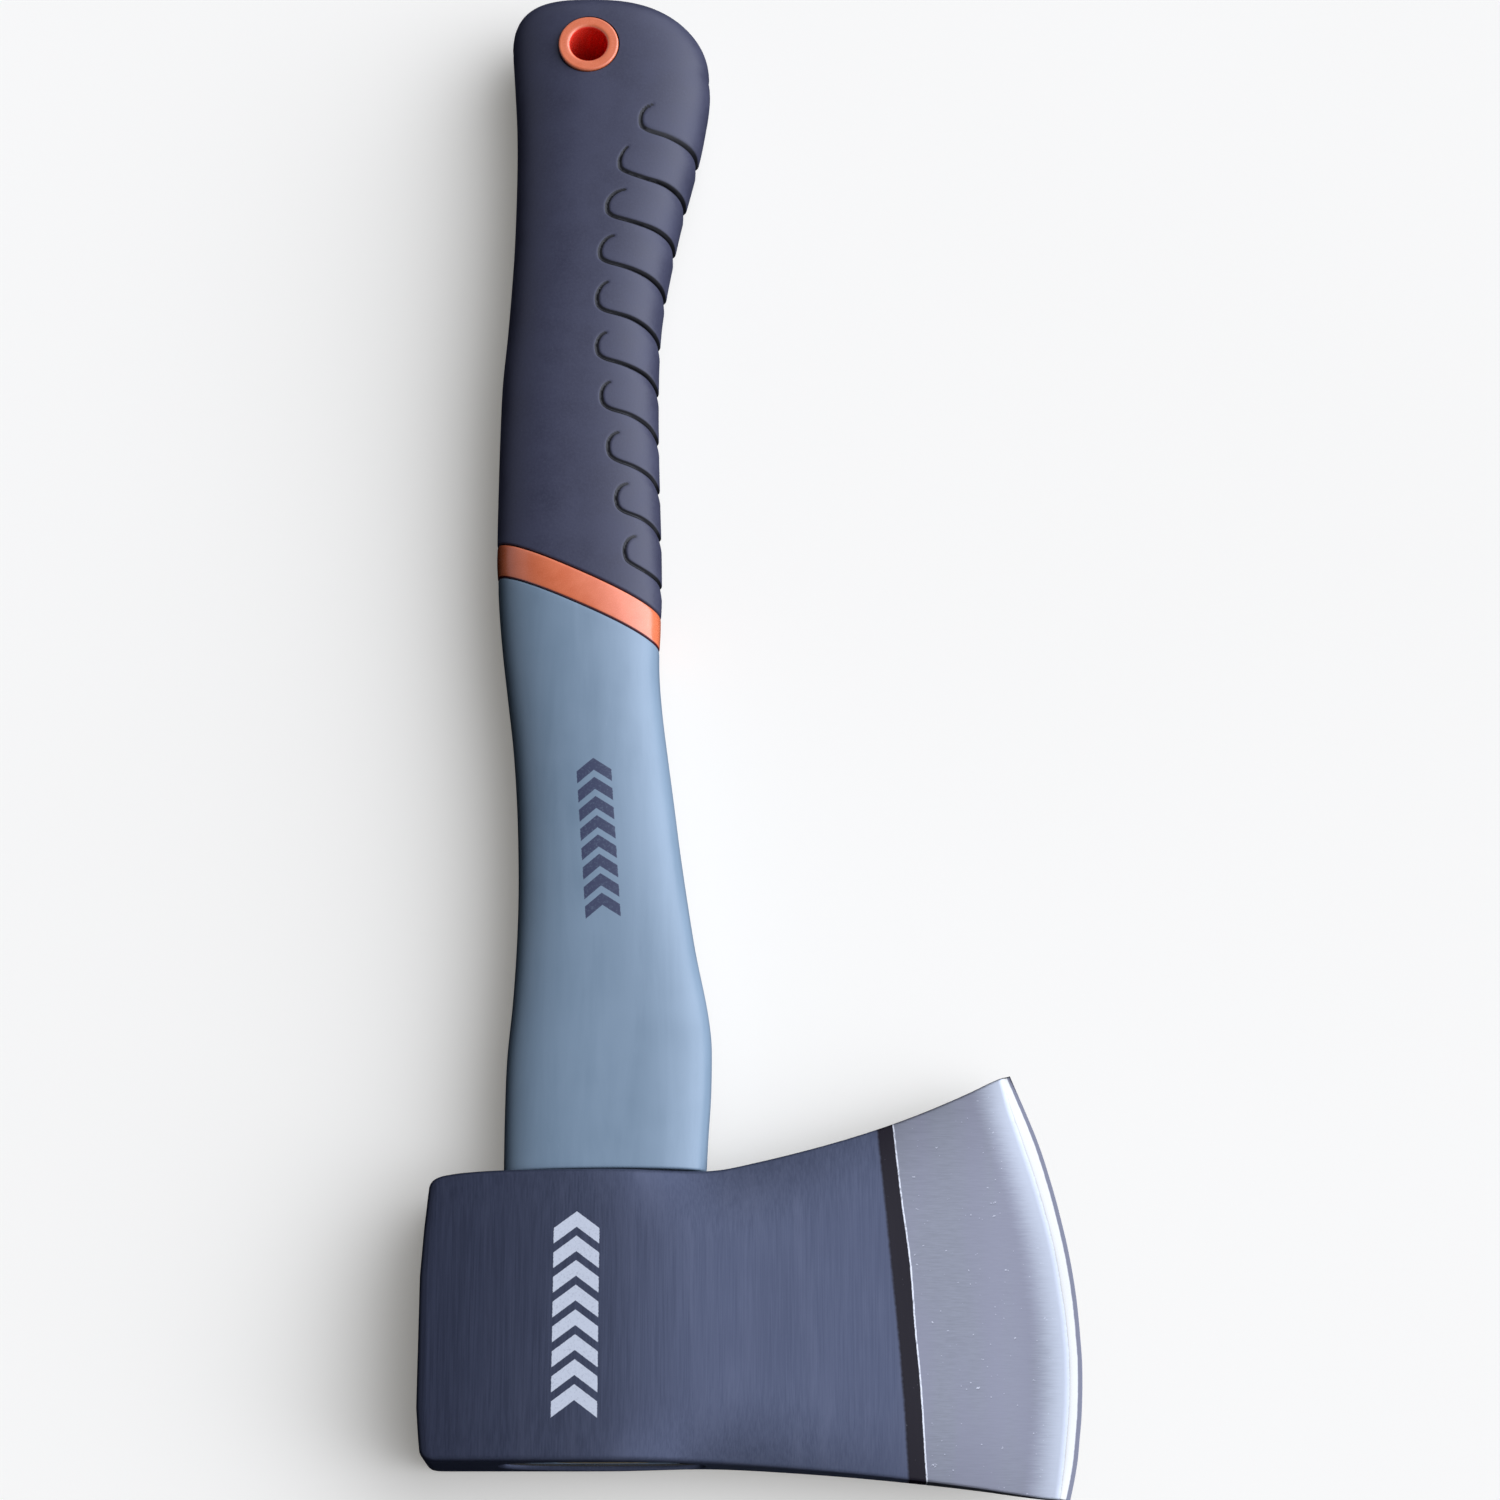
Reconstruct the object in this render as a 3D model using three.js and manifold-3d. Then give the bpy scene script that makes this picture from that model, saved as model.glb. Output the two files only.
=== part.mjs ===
// One-hand camping hatchet, 358 mm long, lying on its side.
// +X points from the poll to the cutting edge, +Y from the head to the butt of
// the handle, +Z through the thickness. Millimetres.
//
// Pieces: a drop-forged steel head with a through eye, a pultruded glass-fibre
// core bar, a polypropylene handle moulded round that core, a cast epoxy bed that
// holds the handle's tongue in the eye, a thermoplastic rubber grip moulded over
// the tail of the handle, a coloured accent ring where the grip starts, and a
// flanged eyelet that lines the hanging hole.
//
// The drawing below uses a drafting frame whose middle plane is z = 0. The whole
// group is moved at the end, so that the exported frame has its origin at the
// bottom centre of the bounding box.

import * as THREE from "three";
import { mergeVertices } from "three/addons/utils/BufferGeometryUtils.js";
import Module from "manifold-3d";

const wasm = await Module();
wasm.setup();

// ---------------------------------------------------------------- dimensions
const GAP = 0.2; // clearance kept between bonded or moulded-on pieces

// head
const EYE_X = -31.6; // centre of the eye
const EYE_HALF_LEN_TOP = 21.0; // where the handle goes in
const EYE_HALF_LEN_BOTTOM = 21.8;
const EYE_HALF_WID_TOP = 6.1;
const EYE_HALF_WID_BOTTOM = 6.7;
const HEAD_BOTTOM = -161.3;
const POLL_FLAT = [-150, -122]; // the flat striking part of the poll
const POLL_X = -70.9;

// handle
const SHOULDER_Y = -98.2; // the handle's shoulder rests on the head here
const TONGUE_END = -160.2; // tongue stops just inside the eye
const TONGUE_HALF_LEN = 19.4;
const TONGUE_HALF_WID = 4.7;
const BED_END = -159.9; // the resin shrinks back a little as it cures

// glass-fibre core
const CORE_HALF_LEN = 10.5;
const CORE_HALF_WID = 3.1;
const CORE_X_BOTTOM = -31.6;
const CORE_X_TOP = -37.6;
const CORE_BOTTOM = -160.2;
const CORE_TOP = 150;

// grip, accent ring and eyelet
const SEAM_SLOPE = -0.456; // the seam is cut on a slant: dy/dx
const SEAM_X = -39.5;
const GRIP_SEAM_Y = 40.4; // at SEAM_X
const BAND_SEAM_Y = 32.4; // lower edge of the accent ring, at SEAM_X
const GRIP_WALL = 2.4;
const BAND_WALL = 1.6;
const EYELET = { x: -38.7, y: 174.2, bore: 4.4, tube: 5.5, flange: 7.2, face: 12.2, thick: 1.3 };

// ---------------------------------------------------------------- tables
// Every table is [position, value] in mm, read with a smooth cubic.
// Left (back) and right (belly) outline of the handle and grip, against y.
const LEFT = [[-100, -53.9], [-84, -53.95], [-72, -53.7], [-60, -52.75], [-48, -52.15], [-36, -51.95], [-24, -52.2], [-12, -52.8], [0, -53.8], [12, -55.3], [24, -56.8], [36, -57.9], [48, -58.4], [60, -58.45], [78, -58.3], [90, -58.0], [102, -57.1], [114, -56.4], [126, -55.9], [144, -55.7], [156, -55.95], [168, -56.7], [176, -57.3]];
const RIGHT = [[-100, -9.65], [-90, -9.2], [-81, -8.65], [-72, -8.6], [-67, -8.85], [-60, -9.85], [-48, -12.25], [-36, -14.15], [-24, -15.9], [-12, -17.45], [0, -19.05], [9, -20.15], [18, -20.85], [27, -20.8], [36, -20.45], [48, -20.6], [60, -21.0], [72, -21.35], [84, -21.55], [96, -21.45], [105, -20.95], [114, -19.75], [123, -18.15], [132, -16.35], [141, -14.15], [150, -12.05], [156, -10.95], [163, -9.95], [168, -9.95], [174, -11.35]];
// The butt closes in superelliptic arcs from these stations to its end.
const BUTT_END = 190;
const BUTT_LEFT = { from: 178, x: -43, reach: 14.4, n: 2.5 };
const BUTT_RIGHT = { from: 170, x: -37, reach: 27, n: 2.15 };
const BUTT_DOME = { from: 182, n: 2.3 }; // over the thickness
// Half thickness of the handle and grip, and how square its section is.
const THICK = [[-100, 8.4], [-80, 8.5], [-60, 8.8], [-40, 9.1], [-20, 9.3], [0, 9.4], [20, 9.5], [40, 9.8], [60, 10.5], [80, 11.2], [100, 11.75], [120, 12.0], [140, 11.95], [155, 11.75], [174, 11.7], [184, 11.6]];
const SQUARE = [[-100, 2.9], [-80, 2.8], [-60, 2.65], [-40, 2.5], [-20, 2.4], [0, 2.35], [40, 2.35], [100, 2.4], [150, 2.5], [190, 2.5]];

// Head: top and bottom outline against x, poll and edge outline against y.
const HEAD_TOP = [[-75, -100.9], [-69, -100.4], [-62.5, -99.4], [-53.5, -98.8], [-32, -98.4], [-16, -98.3], [-7.6, -98.0], [1, -96.2], [12, -93.4], [21, -90.8], [30, -87.8], [38.5, -84.5], [47.5, -80.5], [54, -77.3], [57.3, -76.0], [64, -73.0], [74, -68.7]];
const HEAD_LOW = [[-75, -161.1], [-69, -161.2], [-59, -161.2], [-31, -161.2], [-12, -161.2], [-3, -161.5], [10, -162.3], [22, -163.25], [35, -164.55], [48, -166.1], [60.7, -167.9], [68.2, -168.6], [74, -169.0]];
const HEAD_EDGE = [[-168.6, 68.2], [-164, 69.3], [-159.8, 70.1], [-155.6, 70.6], [-151.3, 71.1], [-147, 71.4], [-142.8, 71.57], [-138.5, 71.6], [-134.2, 71.4], [-129.9, 71.15], [-125.5, 70.8], [-121.2, 70.3], [-116.8, 69.65], [-112.4, 68.85], [-108, 67.9], [-103.6, 66.9], [-99.2, 65.75], [-94.7, 64.5], [-90.2, 63.05], [-85.8, 61.4], [-81.3, 59.6], [-75.6, 57.3]];
const HEAD_BEVEL = [[-168.4, 65.9], [-162.4, 66.8], [-157, 67.5], [-148, 68.4], [-139, 68.7], [-130, 68.2], [-123.5, 67.4], [-117, 66.5], [-110, 65.1], [-103.3, 63.4], [-98, 61.9], [-93, 60.3], [-88, 58.7], [-84, 57.4], [-79, 56.2], [-75.6, 55.3]];
const POLL = [[-163, -69.6], [-156, -70.4], [POLL_FLAT[0], POLL_X], [POLL_FLAT[1], POLL_X], [-112, -70.3], [-100, -69.3]];
// Half thickness of the head along x: down the middle, and along its top and bottom rims.
const HEAD_MID = [[-71, 10.7], [-62, 10.8], [-54, 10.8], [-38, 10.8], [-31, 10.8], [-25, 10.6], [-17, 10.0], [-9, 9.1], [0, 8.0], [15, 6.3], [30.5, 4.5], [34.5, 4.1], [50, 2.65], [61, 1.6]];
const HEAD_RIM = [[-71, 9.7], [-62, 9.8], [-54, 9.8], [-38, 9.8], [-33, 9.7], [-27, 9.3], [-20, 8.0], [-12.7, 6.2], [-5, 5.0], [5, 4.4], [20, 3.8], [34.5, 3.1], [50, 2.1], [61, 1.35]];
const BEVEL_HALF = 1.05; // half thickness where the honed bevel starts
const EDGE_HALF = 0.12;

// ---------------------------------------------------------------- helpers
const lerp = (a, b, t) => a + (b - a) * t;
const clamp = (x, a, b) => Math.min(b, Math.max(a, x));
const smooth = (t) => t * t * (3 - 2 * t);

// Cubic through a table of [x, y], with slopes from the neighbours.
function table(rows) {
  const n = rows.length;
  const slope = rows.map(([, ], i) => {
    const a = rows[Math.max(i - 1, 0)];
    const b = rows[Math.min(i + 1, n - 1)];
    return (b[1] - a[1]) / (b[0] - a[0]);
  });
  return (x) => {
    if (x <= rows[0][0]) return rows[0][1];
    if (x >= rows[n - 1][0]) return rows[n - 1][1];
    let i = 0;
    while (x > rows[i + 1][0]) i++;
    const h = rows[i + 1][0] - rows[i][0];
    const t = (x - rows[i][0]) / h;
    const t2 = t * t;
    const t3 = t2 * t;
    return (2 * t3 - 3 * t2 + 1) * rows[i][1] + (t3 - 2 * t2 + t) * h * slope[i] + (-2 * t3 + 3 * t2) * rows[i + 1][1] + (t3 - t2) * h * slope[i + 1];
  };
}
// The same without overshoot, for corners.
function straight(rows) {
  return (x) => {
    if (x <= rows[0][0]) return rows[0][1];
    for (let i = 0; i + 1 < rows.length; i++) if (x <= rows[i + 1][0]) return lerp(rows[i][1], rows[i + 1][1], (x - rows[i][0]) / (rows[i + 1][0] - rows[i][0]));
    return rows[rows.length - 1][1];
  };
}

const solidFrom = (geometry) => {
  const g = geometry.clone();
  g.deleteAttribute("normal");
  g.deleteAttribute("uv");
  const merged = mergeVertices(g, 1e-4);
  return new wasm.Manifold(new wasm.Mesh({ numProp: 3, vertProperties: new Float32Array(merged.attributes.position.array), triVerts: new Uint32Array(merged.index.array) }));
};
const geometryFrom = (solid) => {
  const m = solid.getMesh();
  const v = new Float32Array(m.numVert * 3);
  for (let i = 0; i < m.numVert; i++) for (let k = 0; k < 3; k++) v[3 * i + k] = m.vertProperties[m.numProp * i + k];
  const g = new THREE.BufferGeometry();
  g.setAttribute("position", new THREE.BufferAttribute(v, 3));
  g.setIndex(new THREE.BufferAttribute(new Uint32Array(m.triVerts), 1));
  g.computeVertexNormals();
  return g;
};

// A closed tube-like solid along Y. rows is a list of stations, and place(row, angle)
// gives the point on the skin; the ends are closed with a flat fan.
function loft(rows, radial, place) {
  const g = new THREE.CylinderGeometry(1, 1, 1, radial, rows.length - 1);
  const p = g.attributes.position;
  for (let i = 0; i < p.count; i++) {
    const x = p.getX(i);
    const z = p.getZ(i);
    const k = Math.round((p.getY(i) + 0.5) * (rows.length - 1));
    const r = Math.hypot(x, z);
    if (r > 0.5) {
      const [X, Y, Z] = place(rows[k], Math.atan2(z, x));
      p.setXYZ(i, X, Y, Z);
    } else {
      let c = [0, 0, 0];
      for (let a = 0; a < radial; a++) {
        const q = place(rows[k], (2 * Math.PI * a) / radial + 0.5 * Math.PI);
        c = c.map((v, j) => v + q[j] / radial);
      }
      p.setXYZ(i, ...c);
    }
  }
  return g;
}

// A point on a superellipse section: half sizes a (x) and b (z), squareness n.
function oval(cx, a, b, n, angle) {
  const c = Math.cos(angle);
  const s = Math.sin(angle);
  const k = (Math.abs(c) ** n + Math.abs(s) ** n) ** (-1 / n);
  return [cx + a * c * k, b * s * k];
}

const left = table(LEFT);
const right = table(RIGHT);
const thick = table(THICK);
const square = table(SQUARE);

// Outline of the finished handle and grip at station y, drawn in by inset.
function section(y, inset) {
  const end = BUTT_END - inset;
  const yy = y > 168 ? lerp(168, BUTT_END, (y - 168) / (end - 168)) : y;
  const arc = ({ from, n }) => (1 - clamp((yy - from) / (BUTT_END - from), 0, 1) ** n) ** (1 / n);
  const l = yy > BUTT_LEFT.from ? BUTT_LEFT.x - BUTT_LEFT.reach * arc(BUTT_LEFT) : left(yy);
  const r = yy > BUTT_RIGHT.from ? BUTT_RIGHT.x + BUTT_RIGHT.reach * arc(BUTT_RIGHT) : right(yy);
  const a = Math.max(0.3, (r - l) / 2 - inset * clamp((r - l) / 40, 0.15, 1));
  const b = Math.max(0.3, (thick(Math.min(yy, 184)) - inset) * arc(BUTT_DOME));
  return { c: (l + r) / 2, a, b, n: square(yy) };
}
const seamAt = (x, base) => base + SEAM_SLOPE * (x - SEAM_X);

// ---------------------------------------------------------------- head
const keep = { top: table(HEAD_TOP), low: table(HEAD_LOW), edge: table(HEAD_EDGE), bevel: table(HEAD_BEVEL), poll: straight(POLL), mid: table(HEAD_MID), rim: table(HEAD_RIM) };
function headX(key, v) {
  // x where a curve given against y crosses the line of constant v
  let x = key === "poll" ? POLL_X : 66;
  for (let i = 0; i < 12; i++) x = keep[key](lerp(keep.low(x), keep.top(x), v));
  return x;
}
const HEAD_US = [0, 0.07, 0.16, 0.28, 0.36, 0.43, 0.5, 0.57, 0.66, 0.75, 0.87, 1]; // poll to bevel
const HEAD_VS = [0, 0.03, 0.1, 0.2, 0.3, 0.4, 0.5, 0.6, 0.7, 0.8, 0.9, 0.97, 1];
const cols = HEAD_US.length; // one more column is the edge itself
function headPoint(i, v, side) {
  const bevel = headX("bevel", v);
  const poll = headX("poll", v);
  const x = i < cols ? lerp(poll, bevel, HEAD_US[i]) : headX("edge", v);
  const y = lerp(keep.low(x), keep.top(x), v);
  const away = Math.abs(2 * v - 1);
  const rise = 1 - clamp((away - 0.4) / 0.6, 0, 1) ** 2.2; // flat in the middle, falling to the rims
  let t;
  if (i === cols) t = EDGE_HALF;
  else if (i === cols - 1) t = BEVEL_HALF;
  else t = lerp(keep.rim(x), keep.mid(x), rise);
  if (i === 0) t -= 1.0; // broken corner round the poll
  if (v < 0.001 || v > 0.999) t = Math.max(i === cols ? EDGE_HALF : 0.35, t - (i < 6 ? 0.8 : 0.25));
  return [x, y, side * t];
}
const headBox = new THREE.BoxGeometry(1, 1, 1, cols, HEAD_VS.length - 1, 1);
{
  const p = headBox.attributes.position;
  for (let k = 0; k < p.count; k++) {
    const i = Math.round((p.getX(k) + 0.5) * cols);
    const j = Math.round((p.getY(k) + 0.5) * (HEAD_VS.length - 1));
    p.setXYZ(k, ...headPoint(i, HEAD_VS[j], p.getZ(k) > 0 ? 1 : -1));
  }
}
// the eye: a slot with round ends, wider towards the bottom of the head
const eyeCutter = (grow) =>
  solidFrom(
    loft([-170, -161.3, -98.6, -90], 40, (y, a) => {
      const t = clamp((y + 161.3) / 62.7, 0, 1);
      const hl = lerp(EYE_HALF_LEN_BOTTOM, EYE_HALF_LEN_TOP, t) - grow;
      const hw = lerp(EYE_HALF_WID_BOTTOM, EYE_HALF_WID_TOP, t) - grow;
      const [x, z] = oval(EYE_X, hl, hw, 2.6, a);
      return [x, y, z];
    }),
  );
const head = solidFrom(headBox).subtract(eyeCutter(0));

// ---------------------------------------------------------------- core bar
const coreX = (y) => lerp(CORE_X_BOTTOM, CORE_X_TOP, (y - CORE_BOTTOM) / (CORE_TOP - CORE_BOTTOM));
const coreBar = (grow, from, to) =>
  solidFrom(
    loft([from, to], 24, (y, a) => {
      const [x, z] = oval(coreX(y), CORE_HALF_LEN + grow, CORE_HALF_WID + grow, 3.2, a);
      return [x, y, z];
    }),
  );
const core = coreBar(0, CORE_BOTTOM, CORE_TOP);

// ---------------------------------------------------------------- handle moulding
// Stations: tongue, shoulder, shaft, then the tail under the accent ring and grip.
const RADIAL = 32;
const skin = (y, inset, angle) => {
  const s = section(y, inset);
  const [x, z] = oval(s.c, s.a, s.b, s.n, angle);
  return [x, y, z];
};
const tongue = solidFrom(
  loft([TONGUE_END, SHOULDER_Y + 3], RADIAL, (y, a) => {
    const [x, z] = oval(EYE_X, TONGUE_HALF_LEN, TONGUE_HALF_WID, 2.6, a);
    return [x, y, z];
  }),
);
const SHAFT_ROWS = [-100, -95.5, -88, -78, -70, -62, -54, -42, -28, -12, 4, 18, 30, 42, 56];
const shaftFull = solidFrom(
  loft(SHAFT_ROWS, RADIAL, (y, a) => {
    const s = section(y, 0);
    const [x, z] = oval(s.c, s.a, s.b, s.n, a);
    return [x, y, z];
  }),
);
// everything below the top outline of the head, for fitting the shoulder to it
const belowHeadTop = (lift) => {
  const shape = new THREE.Shape();
  shape.moveTo(-80, -130);
  shape.lineTo(20, -130);
  for (let x = 20; x >= -80; x -= 5) shape.lineTo(x, keep.top(x) + lift);
  shape.closePath();
  const g = new THREE.ExtrudeGeometry(shape, { depth: 60, bevelEnabled: false });
  g.translate(0, 0, -30);
  return solidFrom(g);
};
// everything on the butt side of the slanted seam
const beyondSeam = (base, lift) => {
  const g = new THREE.BoxGeometry(200, 400, 100);
  g.translate(0, 200, 0);
  const m = new THREE.Matrix4().makeRotationZ(Math.atan(SEAM_SLOPE));
  g.applyMatrix4(m);
  g.translate(SEAM_X, base + lift, 0);
  return solidFrom(g);
};
const shaft = shaftFull.subtract(belowHeadTop(GAP + 0.1)).subtract(beyondSeam(BAND_SEAM_Y, -GAP));
const TAIL_ROWS = [18, 30, 44, 60, 80, 100, 118, 134, 150, 164, 172, 177, 180, 182.5, 184.5, 186, 186.8, 187.2];
const tailInset = GRIP_WALL + GAP;
const tail = solidFrom(loft(TAIL_ROWS, RADIAL, (y, a) => skin(y, tailInset, a)));
const cylinderZ = (x, y, r, half, n = 32) => {
  const g = new THREE.CylinderGeometry(r, r, 2 * half, n);
  g.rotateX(Math.PI / 2);
  g.translate(x, y, 0);
  return solidFrom(g);
};
const eyeletHole = cylinderZ(EYELET.x, EYELET.y, EYELET.tube + GAP, 30);
const handle = tongue.add(shaft).add(tail).subtract(coreBar(GAP, -170, CORE_TOP + GAP)).subtract(eyeletHole);

// ---------------------------------------------------------------- epoxy bed
// Fills the eye round the tongue, and stops level with the tongue's end.
const bedOuter = eyeCutter(GAP);
const bedTrimLow = new THREE.BoxGeometry(80, 40, 40);
bedTrimLow.translate(EYE_X, -20 + BED_END, 0);
const bedTrimHigh = new THREE.BoxGeometry(80, 40, 40);
bedTrimHigh.translate(EYE_X, 20 - 99.4, 0);
const bedHollow = solidFrom(
  loft([-172, -80], RADIAL, (y, a) => {
    const [x, z] = oval(EYE_X, TONGUE_HALF_LEN + GAP, TONGUE_HALF_WID + GAP, 2.6, a);
    return [x, y, z];
  }),
);
const bed = bedOuter.subtract(solidFrom(bedTrimLow)).subtract(solidFrom(bedTrimHigh)).subtract(bedHollow);

// ---------------------------------------------------------------- grip
// Ten thumb-shaped ridges step the belly of the grip, about 12.6 mm apart.
const STEPS = [37.2, 48.3, 59.8, 72.4, 84.6, 96.5, 108.8, 121.2, 134.6, 148.4].map((y) => y + 0.6);
const STEP_DEPTH = 0.8;
const STEP_RISE = 5;
const gripRows = [18, 28];
for (const y of STEPS) gripRows.push(y - STEP_RISE - 0.4, y - 0.4, y + 0.1);
gripRows.push(152, 157, 162, 166, 170, 173, 176, 178.5, 180.7, 182.7, 184.4, 185.9, 187.2, 188.2, 189, 189.45, 189.7);
gripRows.sort((a, b) => a - b);
const rows = gripRows.filter((y, i) => i === 0 || y - gripRows[i - 1] > 0.35);
const notch = (y) => {
  for (const s of STEPS) if (y < s && y > s - STEP_RISE) return STEP_DEPTH * smooth(clamp((y - (s - STEP_RISE)) / STEP_RISE, 0, 1));
  return 0;
};
const gripSkin = solidFrom(
  loft(rows, 36, (y, a) => {
    const s = section(y, 0);
    const side = clamp((Math.cos(a) - 0.25) / 0.75, 0, 1);
    const [x, z] = oval(s.c, s.a - notch(y) * smooth(side), s.b, s.n, a);
    return [x, y, z];
  }),
);
const INNER_ROWS = [10, 24, 42, 60, 80, 100, 118, 134, 150, 164, 172, 177, 180, 182.5, 184.5, 186.2, 187, 187.5];
const gripHollow = solidFrom(loft(INNER_ROWS, RADIAL, (y, a) => skin(y, GRIP_WALL, a)));
const recess = (side) => {
  const g = new THREE.CylinderGeometry(EYELET.flange + GAP, EYELET.flange + GAP, 6, 32);
  g.rotateX(Math.PI / 2);
  g.translate(EYELET.x, EYELET.y, side * (EYELET.face - EYELET.thick - GAP + 3));
  return solidFrom(g);
};
const grip = gripSkin.intersect(beyondSeam(GRIP_SEAM_Y, GAP / 2)).subtract(gripHollow).subtract(eyeletHole).subtract(recess(1)).subtract(recess(-1));

// ---------------------------------------------------------------- accent ring
const BAND_ROWS = [8, 20, 32, 44, 58];
const bandSkin = solidFrom(
  loft(BAND_ROWS, RADIAL, (y, a) => {
    const s = section(y, -0.1);
    const [x, z] = oval(s.c, s.a, s.b, s.n, a);
    return [x, y, z];
  }),
);
const bandHollow = solidFrom(loft([0, 10, 24, 42, 60, 70], RADIAL, (y, a) => skin(y, GRIP_WALL, a)));
const band = bandSkin.intersect(beyondSeam(BAND_SEAM_Y, 0)).subtract(beyondSeam(GRIP_SEAM_Y, -GAP / 2)).subtract(bandHollow);

// ---------------------------------------------------------------- eyelet
const eyeletProfile = [
  [EYELET.bore + 0.5, EYELET.face], [EYELET.bore, EYELET.face - 0.5], [EYELET.bore, -EYELET.face + 0.5], [EYELET.bore + 0.5, -EYELET.face],
  [EYELET.flange - 0.4, -EYELET.face], [EYELET.flange, -EYELET.face + 0.4], [EYELET.flange, -EYELET.face + EYELET.thick], [EYELET.tube, -EYELET.face + EYELET.thick],
  [EYELET.tube, EYELET.face - EYELET.thick], [EYELET.flange, EYELET.face - EYELET.thick], [EYELET.flange, EYELET.face - 0.4], [EYELET.flange - 0.4, EYELET.face],
  [EYELET.bore + 0.5, EYELET.face],
].map(([r, h]) => new THREE.Vector2(r, h));
const eyeletGeometry = new THREE.LatheGeometry(eyeletProfile, 32);
eyeletGeometry.rotateX(Math.PI / 2);
eyeletGeometry.translate(EYELET.x, EYELET.y, 0);
const eyelet = solidFrom(eyeletGeometry);

// ---------------------------------------------------------------- materials
const paint = new THREE.MeshStandardMaterial({ color: 0x2c313d, roughness: 0.45, metalness: 0.0 });
const greyPlastic = new THREE.MeshStandardMaterial({ color: 0x6f7f92, roughness: 0.5, metalness: 0.0 });
const rubber = new THREE.MeshStandardMaterial({ color: 0x33343f, roughness: 0.75, metalness: 0.0 });
const orange = new THREE.MeshStandardMaterial({ color: 0xe8603a, roughness: 0.3, metalness: 0.0 });
const glassFibre = new THREE.MeshStandardMaterial({ color: 0xcdbb84, roughness: 0.55, metalness: 0.0 });
const resin = new THREE.MeshStandardMaterial({ color: 0x1a1916, roughness: 0.35, metalness: 0.0 });

const hatchet = new THREE.Group();
function node(name, solid, material) {
  const mesh = new THREE.Mesh(geometryFrom(solid), material);
  mesh.name = name;
  hatchet.add(mesh);
  return mesh;
}
node("axe_head", head, paint);
node("fibreglass_core", core, glassFibre);
node("handle_moulding", handle, greyPlastic);
node("epoxy_eye_bed", bed, resin);
node("rubber_grip", grip, rubber);
node("accent_ring", band, orange);
node("hang_hole_eyelet", eyelet, orange);

// Origin at the bottom centre of the bounding box.
const box = new THREE.Box3().setFromObject(hatchet);
const centre = box.getCenter(new THREE.Vector3());
hatchet.position.set(-centre.x, -centre.y, -box.min.z);

export default hatchet;
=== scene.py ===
import math

import bmesh
import bpy
import numpy as np
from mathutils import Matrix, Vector


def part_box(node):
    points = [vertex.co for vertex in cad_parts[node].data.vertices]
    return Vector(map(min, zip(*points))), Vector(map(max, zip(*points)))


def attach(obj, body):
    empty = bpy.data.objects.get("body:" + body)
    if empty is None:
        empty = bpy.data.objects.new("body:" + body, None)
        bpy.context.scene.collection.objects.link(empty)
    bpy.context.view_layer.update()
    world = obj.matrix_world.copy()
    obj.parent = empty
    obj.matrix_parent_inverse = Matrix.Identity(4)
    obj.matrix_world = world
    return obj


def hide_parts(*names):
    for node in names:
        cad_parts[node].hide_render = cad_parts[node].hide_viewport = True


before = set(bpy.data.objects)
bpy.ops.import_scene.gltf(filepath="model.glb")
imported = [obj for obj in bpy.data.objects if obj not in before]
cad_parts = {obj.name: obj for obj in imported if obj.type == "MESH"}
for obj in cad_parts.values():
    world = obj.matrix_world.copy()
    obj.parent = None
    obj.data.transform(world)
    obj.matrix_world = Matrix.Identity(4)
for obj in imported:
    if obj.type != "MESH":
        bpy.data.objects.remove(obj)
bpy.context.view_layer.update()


MM = 0.001
_lo, _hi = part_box("hang_hole_eyelet")
EYELET_X, EYELET_Y = -38.7, 174.2
# drafting frame -> row frame
SHIFT = np.array(
    [
        (_lo.x + _hi.x) / 2 / MM - EYELET_X,
        (_lo.y + _hi.y) / 2 / MM - EYELET_Y,
        (_lo.z + _hi.z) / 2 / MM,
    ]
)

# ------------------------------------------------------------------ shape tables
LEFT = [[-100, -53.9], [-84, -53.95], [-72, -53.7], [-60, -52.75], [-48, -52.15], [-36, -51.95], [-24, -52.2], [-12, -52.8], [0, -53.8], [12, -55.3], [24, -56.8], [36, -57.9], [48, -58.4], [60, -58.45], [78, -58.3], [90, -58.0], [102, -57.1], [114, -56.4], [126, -55.9], [144, -55.7], [156, -55.95], [168, -56.7], [176, -57.3]]
RIGHT = [[-100, -9.65], [-90, -9.2], [-81, -8.65], [-72, -8.5], [-67, -8.7], [-60, -9.7], [-48, -12.15], [-36, -14.1], [-24, -15.85], [-12, -17.4], [0, -19.0], [9, -20.1], [18, -20.8], [27, -20.8], [36, -20.45], [48, -20.6], [60, -21.0], [72, -21.35], [84, -21.55], [96, -21.45], [105, -20.95], [114, -19.75], [123, -18.15], [132, -16.35], [141, -14.15], [150, -12.05], [156, -10.95], [163, -9.95], [168, -9.9], [174, -11.3]]
THICK = [[-100, 8.4], [-80, 8.5], [-60, 8.8], [-40, 9.1], [-20, 9.3], [0, 9.4], [20, 9.5], [40, 9.8], [60, 10.5], [80, 11.2], [100, 11.75], [120, 12.0], [140, 11.95], [155, 11.75], [174, 11.7], [184, 11.6]]
SQUARE = [[-100, 2.9], [-80, 2.8], [-60, 2.65], [-40, 2.5], [-20, 2.4], [0, 2.35], [40, 2.35], [100, 2.4], [150, 2.5], [190, 2.5]]
HEAD_TOP = [[-75, -100.9], [-69, -100.4], [-62.5, -99.4], [-53.5, -98.8], [-32, -98.4], [-16, -98.3], [-7.6, -98.0], [1, -96.2], [12, -93.4], [21, -90.8], [30, -87.8], [38.5, -84.5], [47.5, -80.5], [54, -77.3], [57.3, -76.0], [64, -73.0], [74, -68.7]]
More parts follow.
